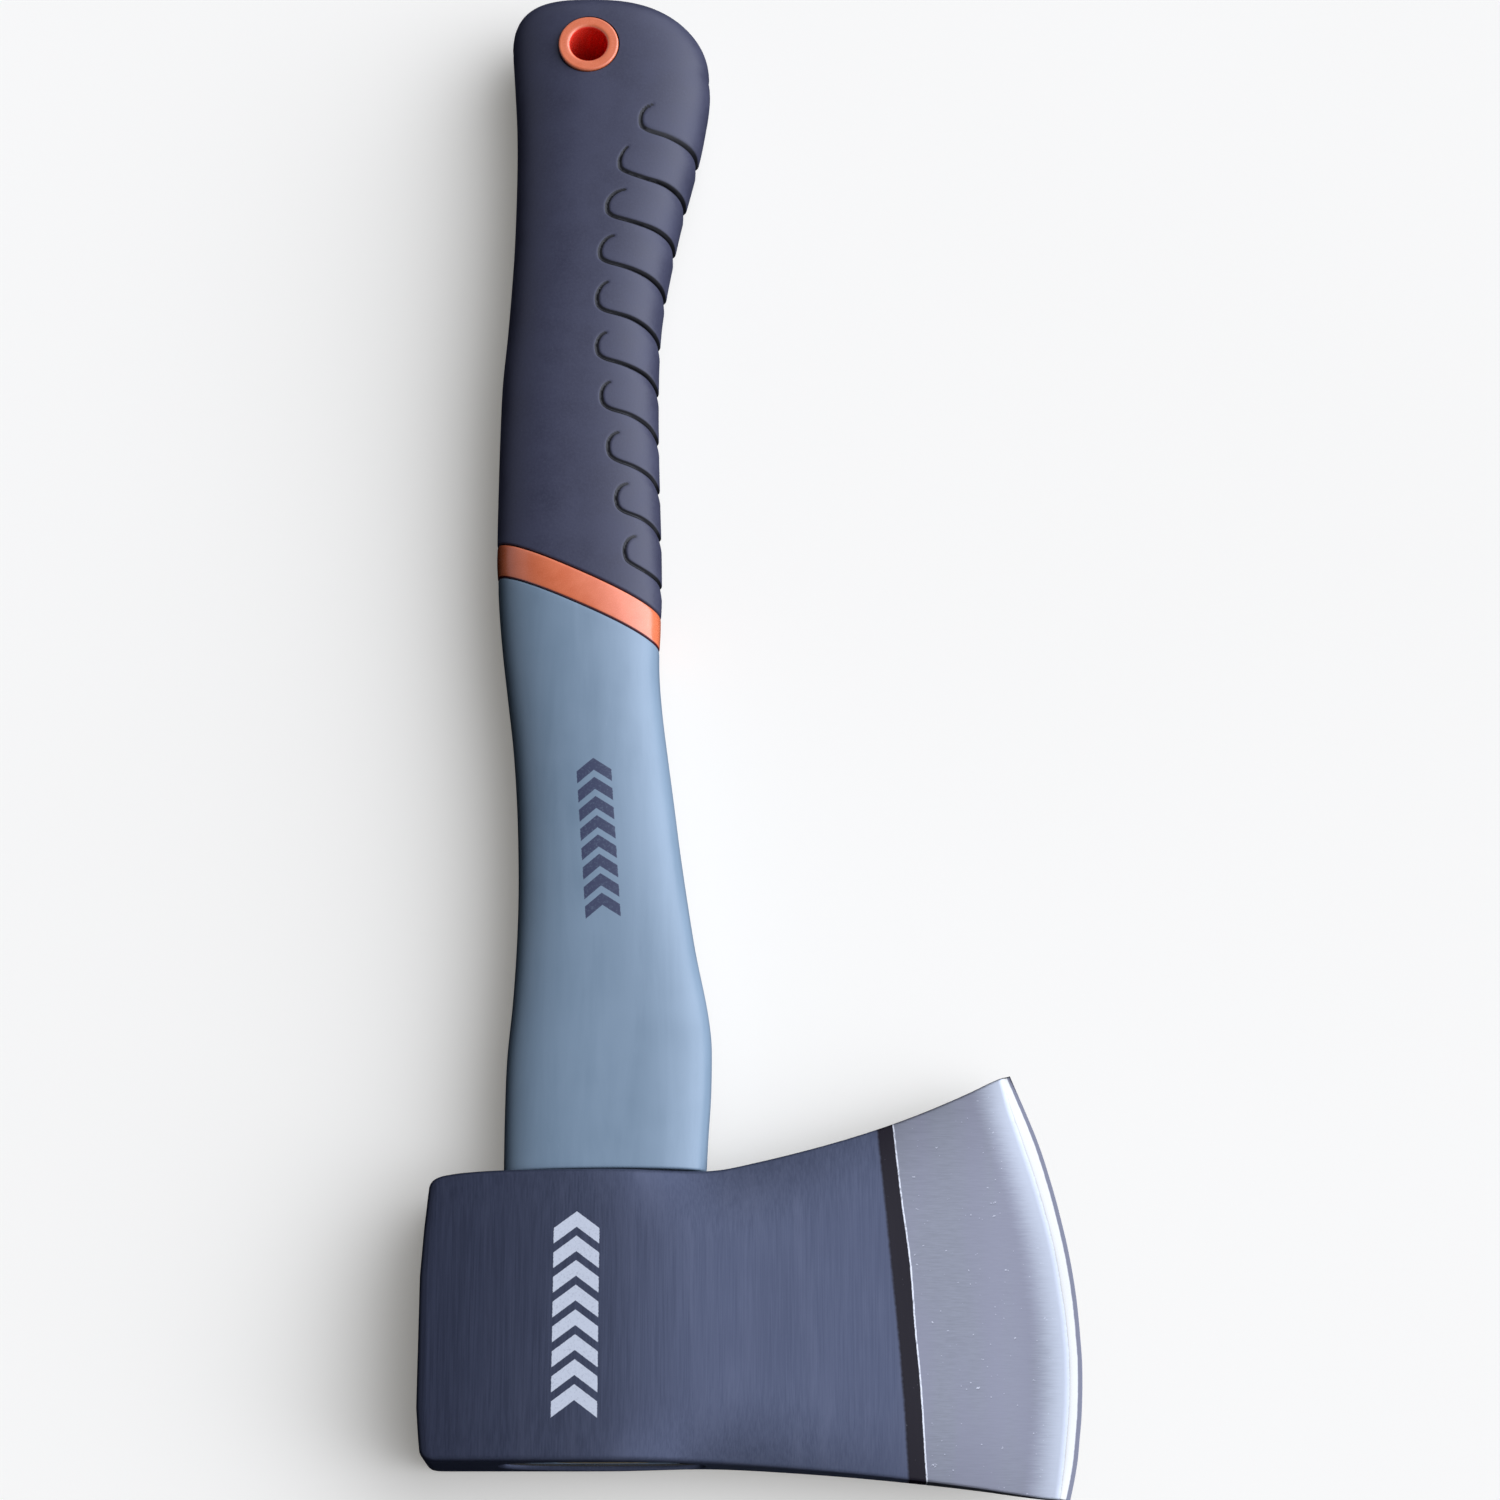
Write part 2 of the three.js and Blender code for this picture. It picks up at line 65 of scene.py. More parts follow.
HEAD_LOW = [[-75, -161.1], [-69, -161.2], [-59, -161.2], [-31, -161.2], [-12, -161.2], [-3, -161.5], [10, -162.3], [22, -163.25], [35, -164.55], [48, -166.1], [60.7, -167.9], [68.2, -168.6], [74, -169.0]]
HEAD_EDGE = [[-168.6, 68.2], [-164, 69.3], [-159.8, 70.1], [-155.6, 70.6], [-151.3, 71.1], [-147, 71.4], [-142.8, 71.57], [-138.5, 71.6], [-134.2, 71.4], [-129.9, 71.15], [-125.5, 70.8], [-121.2, 70.3], [-116.8, 69.65], [-112.4, 68.85], [-108, 67.9], [-103.6, 66.9], [-99.2, 65.75], [-94.7, 64.5], [-90.2, 63.05], [-85.8, 61.4], [-81.3, 59.6], [-75.6, 57.3]]
HEAD_BEVEL = [[-168.4, 65.9], [-162.4, 66.8], [-157, 67.5], [-148, 68.4], [-139, 68.7], [-130, 68.2], [-123.5, 67.4], [-117, 66.5], [-110, 65.1], [-103.3, 63.4], [-98, 61.9], [-93, 60.3], [-88, 58.7], [-84, 57.4], [-79, 56.2], [-75.6, 55.3]]
POLL = [[-163, -69.6], [-156, -70.4], [-150, -70.9], [-122, -70.9], [-112, -70.3], [-100, -69.3]]
HEAD_MID = [[-71, 10.7], [-62, 10.8], [-54, 10.8], [-38, 10.8], [-31, 10.8], [-25, 10.6], [-17, 10.0], [-9, 9.1], [0, 8.0], [15, 6.3], [30.5, 4.5], [34.5, 4.1], [50, 2.65], [61, 1.6], [70, 1.0]]
HEAD_RIM = [[-71, 9.7], [-62, 9.8], [-54, 9.8], [-38, 9.8], [-33, 9.7], [-27, 9.3], [-20, 8.0], [-12.7, 6.2], [-5, 5.0], [5, 4.4], [20, 3.8], [34.5, 3.1], [50, 2.1], [61, 1.35], [70, 0.9]]
BAND_LEFT = [[-164, 33.6], [-162.4, 33.52], [-148.9, 32.79], [-135.3, 31.87], [-121.6, 30.66], [-107.6, 29.44], [-88.7, 27.72], [-84, 27.3]]
BAND_RIGHT = [[-166, 37.65], [-162.4, 37.4], [-143.5, 36.42], [-132.6, 35.49], [-118.2, 34.59], [-103.7, 32.83], [-87.5, 31.26], [-83, 30.9]]

SEAM_SLOPE, SEAM_X = -0.456, -39.5
GRIP_SEAM_Y, BAND_SEAM_Y = 40.4, 32.4
BUTT_END = 190.0
EYE_X = -31.6

# Edge line of each raised pad on the grip: (distance round the section from the belly line, y).
# The first point is where the line starts, above the pad's rounded end.
PADS = [
    [(17.8, 158.3), (20.9, 155.0), (18.1, 151.3), (14.0, 150.5), (9.2, 149.4), (3.2, 148.0), (0, 147.5)],
    [(21.7, 147.0), (23.5, 143.5), (20.3, 139.9), (16.3, 138.9), (11.0, 138.1), (4.0, 136.3), (0, 135.7)],
    [(19.6, 135.6), (23.7, 131.9), (20.9, 128.3), (15.5, 127.2), (10.2, 126.3), (3.4, 124.7), (0, 124.1)],
    [(19.7, 123.6), (23.0, 119.9), (20.2, 116.6), (14.9, 115.5), (9.8, 114.3), (2.8, 112.3), (0, 111.9)],
    [(18.9, 111.7), (21.6, 107.9), (18.8, 104.2), (13.3, 103.2), (9.2, 102.1), (3.5, 100.3), (0, 99.7)],
    [(17.7, 98.9), (20.5, 95.4), (18.0, 92.1), (13.6, 91.2), (7.7, 89.8), (3.3, 88.2), (0, 87.6)],
    [(16.2, 86.6), (18.9, 83.0), (16.3, 79.7), (11.6, 78.8), (6.7, 77.3), (3.2, 75.8), (0, 75.2)],
    [(13.9, 74.2), (17.1, 70.5), (14.6, 67.1), (10.4, 66.1), (6.1, 64.8), (2.7, 63.3), (0, 62.8)],
    [(11.6, 61.8), (15.1, 57.9), (12.9, 54.7), (8.9, 53.8), (5.6, 52.7), (2.8, 51.5), (0, 51.0)],
    [(9.6, 49.2), (13.0, 45.3), (10.4, 41.9), (6.9, 40.7), (3.6, 39.8), (0, 39.0)],
]


def table(rows):
    xs = np.array([r[0] for r in rows], float)
    ys = np.array([r[1] for r in rows], float)
    n = len(xs)
    up, down = np.minimum(np.arange(n) + 1, n - 1), np.maximum(np.arange(n) - 1, 0)
    slope = (ys[up] - ys[down]) / (xs[up] - xs[down])

    def read(x):
        x = np.clip(np.asarray(x, float), xs[0], xs[-1])
        i = np.clip(np.searchsorted(xs, x, side="right") - 1, 0, n - 2)
        h = xs[i + 1] - xs[i]
        t = (x - xs[i]) / h
        t2, t3 = t * t, t * t * t
        return (2 * t3 - 3 * t2 + 1) * ys[i] + (t3 - 2 * t2 + t) * h * slope[i] + (3 * t2 - 2 * t3) * ys[i + 1] + (t3 - t2) * h * slope[i + 1]

    return read


def smooth(t):
    t = np.clip(t, 0, 1)
    return t * t * (3 - 2 * t)


left_t, right_t, thick_t, square_t = table(LEFT), table(RIGHT), table(THICK), table(SQUARE)
top_t, low_t, edge_t, bevel_t = table(HEAD_TOP), table(HEAD_LOW), table(HEAD_EDGE), table(HEAD_BEVEL)
mid_t, rim_t, band_l_t, band_r_t = table(HEAD_MID), table(HEAD_RIM), table(BAND_LEFT), table(BAND_RIGHT)


def poll_t(y):
    return np.interp(y, [r[0] for r in POLL], [r[1] for r in POLL])


def section(y, inset=0.0):
    """Centre, half width, half thickness and squareness of the handle and grip at y."""
    y = np.asarray(y, float)
    end = BUTT_END - inset
    yy = np.where(y > 168, 168 + (y - 168) * (BUTT_END - 168) / (end - 168), y)
    yy = np.clip(yy, -110, BUTT_END)
    left = left_t(yy)
    right = right_t(yy)
    over = np.clip((yy - 178) / 12.0, 0, 1)
    left = np.where(yy > 178, -43.0 - 14.4 * (1 - over**2.5) ** 0.4, left)
    over = np.clip((yy - 170) / 20.0, 0, 1)
    right = np.where(yy > 170, -37.0 + 27.0 * (1 - over**2.15) ** (1 / 2.15), right)
    over = np.clip((yy - (BUTT_END - 8.0)) / 8.0, 0, 1)
    dome = (1 - over**2.3) ** (1 / 2.3)
    shrink = np.clip((right - left) / 40, 0.15, 1)
    a = np.maximum((right - left) / 2 - inset * shrink, 0.2)
    b = np.maximum((thick_t(np.minimum(yy, 184)) - inset) * dome, 0.15)
    return (left + right) / 2, a, b, square_t(yy)


def oval(c, a, b, n, angle):
    co, si = np.cos(angle), np.sin(angle)
    k = (np.abs(co) ** n + np.abs(si) ** n) ** (-1 / n)
    return c + a * co * k, b * si * k


# ------------------------------------------------------------------ mesh helpers
def raw_mesh(name, verts, quads, tris=()):
    """A mesh object from millimetre points in the drafting frame, facing outwards."""
    verts = (np.asarray(verts, float).reshape(-1, 3) + SHIFT) * MM
    quads = np.asarray(quads, np.int64).reshape(-1, 4)
    tris = np.asarray(tris, np.int64).reshape(-1, 3)
    me = bpy.data.meshes.new(name)
    me.vertices.add(len(verts))
    me.vertices.foreach_set("co", verts.astype(np.float32).ravel())
    loops = np.concatenate([quads.ravel(), tris.ravel()])
    me.loops.add(len(loops))
    me.loops.foreach_set("vertex_index", loops.astype(np.int32))
    starts = np.concatenate([np.arange(len(quads)) * 4, len(quads) * 4 + np.arange(len(tris)) * 3])
    me.polygons.add(len(starts))
    me.polygons.foreach_set("loop_start", starts.astype(np.int32))
    me.update(calc_edges=True)
    me.validate()
    ob = bpy.data.objects.new(name, me)
    bpy.context.scene.collection.objects.link(ob)
    return ob


def tidy(ob, sharp=35.0, merge=2e-6):
    """Merge doubles, face outwards, smooth shading with crisp edges above an angle."""
    bm = bmesh.new()
    bm.from_mesh(ob.data)
    if merge:
        bmesh.ops.remove_doubles(bm, verts=bm.verts, dist=merge)
    bmesh.ops.dissolve_degenerate(bm, edges=bm.edges, dist=1e-7)
    bmesh.ops.recalc_face_normals(bm, faces=bm.faces)
    if bm.calc_volume(signed=True) < 0:
        bmesh.ops.reverse_faces(bm, faces=bm.faces)
    limit = math.radians(sharp)
    for f in bm.faces:
        f.smooth = True
    for e in bm.edges:
        e.smooth = not (len(e.link_faces) == 2 and e.calc_face_angle(0.0) > limit)
    bm.to_mesh(ob.data)
    bm.free()
    return ob


def loops_mesh(name, rows, closed=False, start_pole=None, end_pole=None):
    """rows: (R, M, 3) closed loops. closed joins the last row to the first."""
    rows = np.asarray(rows, float)
    count, around = rows.shape[:2]
    grid = np.arange(count * around).reshape(count, around)
    if closed:
        grid = np.vstack([grid, grid[:1]])
    nxt = np.roll(grid, -1, axis=1)
    quads = np.stack([grid[:-1], nxt[:-1], nxt[1:], grid[1:]], axis=-1).reshape(-1, 4)
    verts = rows.reshape(-1, 3)
    tris = []
    if start_pole is not None:
        verts = np.vstack([verts, [start_pole]])
        tris.append(np.stack([nxt[0], grid[0], np.full(around, len(verts) - 1)], axis=-1))
    if end_pole is not None:
        verts = np.vstack([verts, [end_pole]])
        tris.append(np.stack([grid[-1], nxt[-1], np.full(around, len(verts) - 1)], axis=-1))
    return raw_mesh(name, verts, quads, np.concatenate(tris) if tris else ())


def boolean(ob, cutter, solver="EXACT"):
    mod = ob.modifiers.new("cut", "BOOLEAN")
    mod.operation, mod.object, mod.solver = "DIFFERENCE", cutter, solver
    dg = bpy.context.evaluated_depsgraph_get()
    mesh = bpy.data.meshes.new_from_object(ob.evaluated_get(dg), depsgraph=dg)
    ob.modifiers.remove(mod)
    old = ob.data
    ob.data = mesh
    bpy.data.meshes.remove(old)
    data = cutter.data
    bpy.data.objects.remove(cutter)
    bpy.data.meshes.remove(data)
    return ob


def attribute(ob, name, values):
    at = ob.data.attributes.get(name) or ob.data.attributes.new(name, "FLOAT", "POINT")
    at.data.foreach_set("value", np.asarray(values, np.float32))


def points_mm(ob):
    co = np.empty(len(ob.data.vertices) * 3, np.float32)
    ob.data.vertices.foreach_get("co", co)
    return co.reshape(-1, 3).astype(float) / MM - SHIFT


# ------------------------------------------------------------------ section arc lengths
_YS = np.linspace(-110, BUTT_END, 1201)
_ANG = np.linspace(0, math.pi, 721)
_c, _a, _b, _n = section(_YS)
_x, _z = oval(0.0, _a[:, None], _b[:, None], _n[:, None], _ANG[None])
_arc = np.concatenate([np.zeros((len(_YS), 1)), np.cumsum(np.hypot(np.diff(_x, axis=1), np.diff(_z, axis=1)), axis=1)], axis=1)
_HALF = _arc[:, -1]


def half_girth(y):
    return np.interp(y, _YS, _HALF)


def angle_at(y, s):
    """Section angle whose distance from the belly line is s, at y (arrays of one shape)."""
    shape = np.shape(y)
    y, s = np.ravel(y), np.ravel(s)
    f = np.clip((y - _YS[0]) / (_YS[1] - _YS[0]), 0, len(_YS) - 1.001)
    i = f.astype(int)
    t = f - i
    out = np.empty(len(y))
    order = np.argsort(i, kind="stable")
    bounds = np.searchsorted(i[order], np.arange(len(_YS)))
    bounds = np.append(bounds, len(order))
    for k in range(len(_YS) - 1):
        pick = order[bounds[k] : bounds[k + 1]]
        if not len(pick):
            continue
        lo = np.interp(s[pick] / half_girth(y[pick]) * _HALF[k], _arc[k], _ANG)
        hi = np.interp(s[pick] / half_girth(y[pick]) * _HALF[k + 1], _arc[k + 1], _ANG)
        out[pick] = lo + (hi - lo) * t[pick]
    return out.reshape(shape)


def on_skin(y, s, lift=0.0, inset=0.0):
    """Points at y and distance s from the belly line (negative s is the far side)."""
    ang = angle_at(y, np.abs(s))
    c, a, b, n = section(y, inset)
    x, z = oval(c, a, b, n, ang)
    u, w = np.clip(np.abs(x - c) / a, 0, 1), np.clip(z / b, 0, 1)
    nx = np.sign(x - c) * u ** (n - 1) / a
    nz = w ** (n - 1) / b
    size = np.maximum(np.hypot(nx, nz), 1e-9)
    side = np.where(s < 0, -1.0, 1.0)
    return np.stack([x + lift * nx / size, y, side * (z + lift * nz / size)], axis=-1)


def catmull(points, step=0.12):
    p = np.array(points, float)
    p = np.vstack([2 * p[0] - p[1], p, 2 * p[-1] - p[-2]])
    out = []
    for i in range(1, len(p) - 2):
        n = max(2, int(np.linalg.norm(p[i + 1] - p[i]) / step))
        t = np.linspace(0, 1, n, endpoint=False)[:, None]
        out.append(0.5 * (2 * p[i] + (p[i + 1] - p[i - 1]) * t + (2 * p[i - 1] - 5 * p[i] + 4 * p[i + 1] - p[i + 2]) * t**2 + (3 * p[i] - p[i - 1] - 3 * p[i + 1] + p[i + 2]) * t**3))
    return np.vstack(out + [p[-2:-1]])


def rounded(line):
    """The line with its blunt left end drawn as two elliptic quarters."""
    (s0, y0), (s1, y1), (s2, y2) = line[:3]
    turn = [math.radians(a) for a in (22.5, 45.0, 67.5)]
    upper = [(s0 + (s1 - s0) * math.sin(a), y1 + (y0 - y1) * math.cos(a)) for a in turn]
    lower = [(s2 + (s1 - s2) * math.cos(a), y1 + (y2 - y1) * math.sin(a)) for a in turn[:2]]
    return [(s0, y0), *upper, (s1, y1), *lower, *line[2:]]


PAD_LINES = [catmull(rounded(p)) for p in PADS]


def pad_edge(i, s):
    """y of the lower edge of pad i at distance s from the belly line."""
    line = PAD_LINES[i]
    k = int(np.argmax(line[:, 0]))
    low = line[k:][::-1]
    return np.interp(s, low[:, 0], low[:, 1])


def pad_relief(s, y):
    """Height of the grip's skin over its smooth envelope, and how deep in a seam a point is."""
    s = np.abs(s)
    height = np.zeros(np.shape(s))
    seam = np.zeros(np.shape(s))
    for i, line in enumerate(PAD_LINES):
        run = np.concatenate([[0], np.cumsum(np.hypot(*np.diff(line, axis=0).T))])
        near = (y > line[:, 1].min() - 5) & (y < line[:, 1].max() + 3) & (s < line[:, 0].max() + 3)
        idx = np.nonzero(near)
        ps, py = s[idx], y[idx]
        best = np.full(len(ps), 1e9)
        at = np.zeros(len(ps))
        for k0 in range(0, len(line), 64):
            part = line[k0 : k0 + 64]
            d = (ps[:, None] - part[None, :, 0]) ** 2 + (py[:, None] - part[None, :, 1]) ** 2
            j = np.argmin(d, axis=1)
            dm = d[np.arange(len(ps)), j]
            better = dm < best
            best = np.where(better, dm, best)
            at = np.where(better, run[k0 + j], at)
        dist = np.sqrt(best)
        fade = smooth(at / 1.2) * (0.62 + 0.38 * smooth((at - 1.0) / 3.0))
        wide = 0.28 + 0.11 * smooth((at - 1.5) / 5.0)
        groove = np.exp(-((dist / wide) ** 2)) * fade
        reach = line[:, 0].max()
        below = pad_edge(i, ps) - py
        amount = smooth((reach - 3 - ps) / 13.0)
        t = below / 2.9
        scoop = np.where((below > 0) & (t < 1), (1 - np.clip(t, 0, 1)) ** 1.15, 0.0) * amount
        # the pad's own edge is rounded over
        roll = np.where((below <= 0) & (below > -0.7), ((0.7 + below) / 0.7) ** 2, 0.0) * amount * 0.12
        height[idx] += -0.5 * groove - 0.62 * scoop - roll
        seam[idx] = np.maximum(seam[idx], groove)
    return height, seam


# ------------------------------------------------------------------ grip
def seam_y(base, x):
    return base + SEAM_SLOPE * (x - SEAM_X)


HALF_COLS, BELLY_SHARE = 106, 0.8


def around(y, count, belly_share=BELLY_SHARE, belly=26.0):
    """Distances from the belly line of one half of a ring, at y."""
    c = np.linspace(0, 1, count)
    total = half_girth(y)
    near = np.minimum(belly, 0.5 * total)
    return np.where(c < belly_share, c / belly_share * near, near + (total - near) * (c - belly_share) / (1 - belly_share))


def solve_seam(base, s_of_y, inset=0.0):
    """y where the slanted cut meets the skin, for each column."""
    y = np.full(len(s_of_y(40.0)), base)
    for _ in range(12):
        s = np.array([s_of_y(v)[k] for k, v in enumerate(y)])
        y = seam_y(base, on_skin(y, s, 0.0, inset)[:, 0])
    return y


PAD_T = [0, 0.01, 0.022, 0.038, 0.06, 0.085] + [0.112 + 0.0305 * k for k in range(26)] + [0.9, 0.922, 0.942, 0.96, 0.975, 0.988]


def full_ring(half):
    """A half ring (…, H, 3) mirrored to a full ring without repeated points."""
    other = half[..., -2:0:-1, :].copy()
    other[..., 2] *= -1
    return np.concatenate([half, other], axis=-2)


def grip_rows():
    cols = lambda y: around(y, HALF_COLS)
    seam = solve_seam(GRIP_SEAM_Y + 0.15, cols)
    seam_spine = seam[-1]
    s40 = around(100.0, HALF_COLS)
    knots = [seam]
    for i in range(len(PADS) - 1, -1, -1):
        line = PAD_LINES[i]
        reach = line[:, 0].max()
        order = len(PADS) - i
        target = seam_spine + order * (166.0 - seam_spine) / (len(PADS) + 1)
        base = pad_edge(i, np.minimum(s40, reach - 2.0))
        t = smooth((s40 - (reach - 3.0)) / (48.0 - (reach - 3.0)))
        knots.append(base + (target - base) * t)
    knots.append(np.full(HALF_COLS, 166.0))
    ys = []
    for k in range(len(knots) - 1):
        ts = PAD_T if k < len(knots) - 2 else list(np.linspace(0, 1, 26)[:-1])
        for t in ts:
            ys.append(knots[k] + (knots[k + 1] - knots[k]) * t)
    for t in np.linspace(0, 1, 40)[:-1]:
        ys.append(np.full(HALF_COLS, 166.0 + (BUTT_END - 166.0) * (1 - (1 - t) ** 2.1)))
    return np.array(ys), seam


ys, grip_seam = grip_rows()
ss = np.array([around(y, HALF_COLS)[np.arange(HALF_COLS)] if np.ndim(y) == 0 else np.array([0.0]) for y in [0.0]])
total = half_girth(ys)
near = np.minimum(26.0, 0.5 * total)
c = np.linspace(0, 1, HALF_COLS)[None]
ss = np.where(c < BELLY_SHARE, c / BELLY_SHARE * near, near + (total - near) * (c - BELLY_SHARE) / (1 - BELLY_SHARE))
relief, seam_depth = pad_relief(ss, ys)
# the rim at the slanted seam is rolled over
from_seam = ys - grip_seam[None]
roll = np.where(from_seam < 0.5, 0.5 - np.sqrt(np.clip(0.25 - (0.5 - np.clip(from_seam, 0, 0.5)) ** 2, 0, None)), 0.0)
outer = on_skin(ys, ss, relief + 0.12 - roll)
extra = []
for d in (0.0, 0.03, 0.1, 0.2, 0.34):
    y = grip_seam + d
    lift = 0.12 - (0.5 - math.sqrt(max(0.0, 0.25 - (0.5 - d) ** 2)))
    extra.append(on_skin(y, ss[0], np.full(HALF_COLS, lift)))
outer = np.concatenate([np.array(extra), outer[2:]], axis=0)
inner = []
for t in [0, 0.04, 0.15, 0.3, 0.5, 0.7, 0.85, 0.95]:
    y = grip_seam + (176 - grip_seam) * t
    s = np.array([around(v, HALF_COLS)[k] for k, v in enumerate(y)])
    inner.append(on_skin(y, s, 0.0, 2.4))
for y in (176.0, 181.0, 184.5, 186.6, 187.3):
    inner.append(on_skin(np.full(HALF_COLS, y), around(y, HALF_COLS), 0.0, 2.4))
rows = np.concatenate([full_ring(np.array(inner))[::-1], full_ring(outer)], axis=0)
end_c = float(section(BUTT_END)[0])
grip = loops_mesh("grip_sleeve", rows, start_pole=(end_c, 187.45, 0), end_pole=(end_c, BUTT_END + 0.02, 0))


def cylinder_z(name, x, y, rows_rz, seg=128):
    """A closed turned shape about a line along z: rows of (radius, z)."""
    ang = np.linspace(0, 2 * math.pi, seg, endpoint=False)
    rows = np.array([[[x + r * math.cos(t), y + r * math.sin(t), z] for t in ang] for r, z in rows_rz])
    return rows


hole = cylinder_z("hole", EYELET_X, EYELET_Y, [(7.5, 30), (7.5, 10.6), (5.7, 10.4), (5.7, -10.4), (7.5, -10.6), (7.5, -30)])
cutter = loops_mesh("cutter_eyelet", hole, start_pole=(EYELET_X, EYELET_Y, 30), end_pole=(EYELET_X, EYELET_Y, -30))
tidy(cutter)
tidy(grip, merge=0)
boolean(grip, cutter)
tidy(grip, sharp=48.0, merge=1e-6)

# ------------------------------------------------------------------ handle moulding
HCOLS = 81


def spread(count, dense=0.0):
    """Fractions 0..1 along half a ring, closer together at both ends, where the mould parts."""
    c = np.linspace(0, 1, count)
    c[1], c[2], c[3] = 0.004, 0.011, 0.021
    c[-2], c[-3], c[-4] = 1 - 0.004, 1 - 0.011, 1 - 0.021
    c[3:-3] = np.linspace(0.021, 1 - 0.021, count - 6)
    return c


FR = spread(HCOLS)


def free_ring(y, cx, a, b, n, lift=0.0):
    """Half ring of a section that is not on the skin. y may be one value or one per column."""
    ang = np.linspace(0, math.pi, 721)
    x, z = oval(0.0, a + lift, b + lift, n, ang)
    arc = np.concatenate([[0], np.cumsum(np.hypot(np.diff(x), np.diff(z)))])
    at = np.interp(FR * arc[-1], arc, ang)
    x, z = oval(cx, a + lift, b + lift, n, at)
    return np.stack([x, np.broadcast_to(np.asarray(y, float), x.shape), z], axis=-1)


def skin_ring(y, lift=0.0, inset=0.0, ridge=0.0):
    """Half ring on the handle's skin; y is one value per column or one value."""
    y = np.broadcast_to(np.asarray(y, float), FR.shape)
    s = FR * half_girth(y)
    part = ridge * (np.exp(-((s / 0.22) ** 2)) + np.exp(-(((half_girth(y) - s) / 0.22) ** 2)))
    return on_skin(y, s, np.broadcast_to(lift, FR.shape) + part, inset)


def core_x(y):
    return -31.6 + (-37.6 + 31.6) * (y + 160.2) / (150 + 160.2)


def follow(base, towards, fade):
    """y per column that sits on a curve f(x) at fade 1 and is level at fade 0."""
    y = np.full(HCOLS, float(base))
    for _ in range(8):
        x = skin_ring(y)[:, 0]
        y = base + fade * (towards(x) - base)
    return y


band_seam = follow(BAND_SEAM_Y, lambda x: seam_y(BAND_SEAM_Y, x), 1.0)
grip_seam_h = follow(GRIP_SEAM_Y, lambda x: seam_y(GRIP_SEAM_Y, x), 1.0)
shoulder = follow(-98.2, lambda x: top_t(x), 1.0)

rows = []
for y in (150.3, 140.0, 100.0, 40.0, -20.0, -80.0, -140.0, -158.0, -159.9, -160.15):
    rows.append(free_ring(y, core_x(y), 10.62, 3.22, 3.2))
rows.append(free_ring(-160.2, core_x(-160.2), 10.7, 3.3, 3.1))
for k in (0.3, 0.6, 0.85):
    rows.append(free_ring(-160.2, EYE_X, 10.7 + (18.9 - 10.7) * k, 3.3 + (4.2 - 3.3) * k, 3.1 + (2.6 - 3.1) * k))
for d, inset in ((0.0, 0.45), (0.06, 0.25), (0.2, 0.08), (0.45, 0.0)):
    rows.append(free_ring(-160.2 + d, EYE_X, 19.4 - inset, 4.7 - inset, 2.6))
for y in (-150.0, -135.0, -120.0, -105.0):
    rows.append(free_ring(y, EYE_X, 19.4, 4.7, 2.6))
rows.append(free_ring(shoulder + 0.28, EYE_X, 19.4, 4.7, 2.6))
for k in (0.4, 0.8):
    a = free_ring(shoulder + 0.28, EYE_X, 19.4, 4.7, 2.6)
    b = skin_ring(shoulder + 0.28, -0.5)
    rows.append(a + (b - a) * k)
for d, lift in ((0.28, -0.5), (0.32, -0.3), (0.42, -0.14), (0.6, -0.03), (0.85, 0.0)):
    rows.append(skin_ring(shoulder + d, lift, ridge=0.0))
seam_mean = float(band_seam.mean())
for t in np.linspace(0.012, 0.985, 84):
    flat = shoulder * (1 - t) + (band_seam - 0.15) * t
    mid = -97.0 + (seam_mean + 97.0) * t
    blend = smooth(abs(t - 0.5) * 2.6 - 0.45)
    rows.append(skin_ring(flat * blend + mid * (1 - blend), 0.0, ridge=0.06))
for d, lift in ((0.55, 0.0), (0.3, -0.04), (0.14, -0.13), (0.04, -0.27), (0.0, -0.45)):
    rows.append(skin_ring(band_seam - 0.15 - d, lift))
for lift in (-1.2, -2.0):
    rows.append(skin_ring(band_seam - 0.15, lift))
for t in np.linspace(0, 1, 40):
    y = (band_seam - 0.15) * (1 - t) ** 1.0 + 176.0 * t
    rows.append(skin_ring(y, 0.0, 2.6))
for y in (180.0, 183.0, 185.2, 186.4, 187.0):
    rows.append(skin_ring(y, 0.0, 2.6))
rows = full_ring(np.array(rows))
handle = loops_mesh("handle_body", rows, start_pole=(core_x(150.3), 150.4, 0), end_pole=(float(section(187.2)[0]), 187.15, 0))
tidy(handle, merge=0)
hole = cylinder_z("hole", EYELET_X, EYELET_Y, [(5.7, 30), (5.7, -30)], 64)
boolean(handle, tidy(loops_mesh("cutter_handle", hole, start_pole=(EYELET_X, EYELET_Y, 30), end_pole=(EYELET_X, EYELET_Y, -30))))
tidy(handle, sharp=40.0, merge=1e-6)

# ------------------------------------------------------------------ accent ring
rows = []
low_y, high_y = band_seam + 0.02, grip_seam_h - 0.12
for d, lift in ((0.0, -0.45), (0.03, -0.22), (0.12, -0.07), (0.3, 0.03), (0.6, 0.09)):
    rows.append(skin_ring(low_y + d, lift))
for t in np.linspace(0, 1, 15)[1:-1]:
    rows.append(skin_ring(low_y + 0.6 + (high_y - low_y - 1.2) * t, 0.09 + 0.1 * math.sin(math.pi * t)))
for d, lift in ((0.6, 0.09), (0.3, 0.03), (0.12, -0.07), (0.03, -0.22), (0.0, -0.45)):
    rows.append(skin_ring(high_y - d, lift))
rows.append(skin_ring(high_y, 0.0, 2.4))
for t in (0.75, 0.5, 0.25):
    rows.append(skin_ring(low_y + (high_y - low_y) * t, 0.0, 2.4))
rows.append(skin_ring(low_y, 0.0, 2.4))
band = tidy(loops_mesh("accent_band", full_ring(np.array(rows)), closed=True), sharp=40.0)

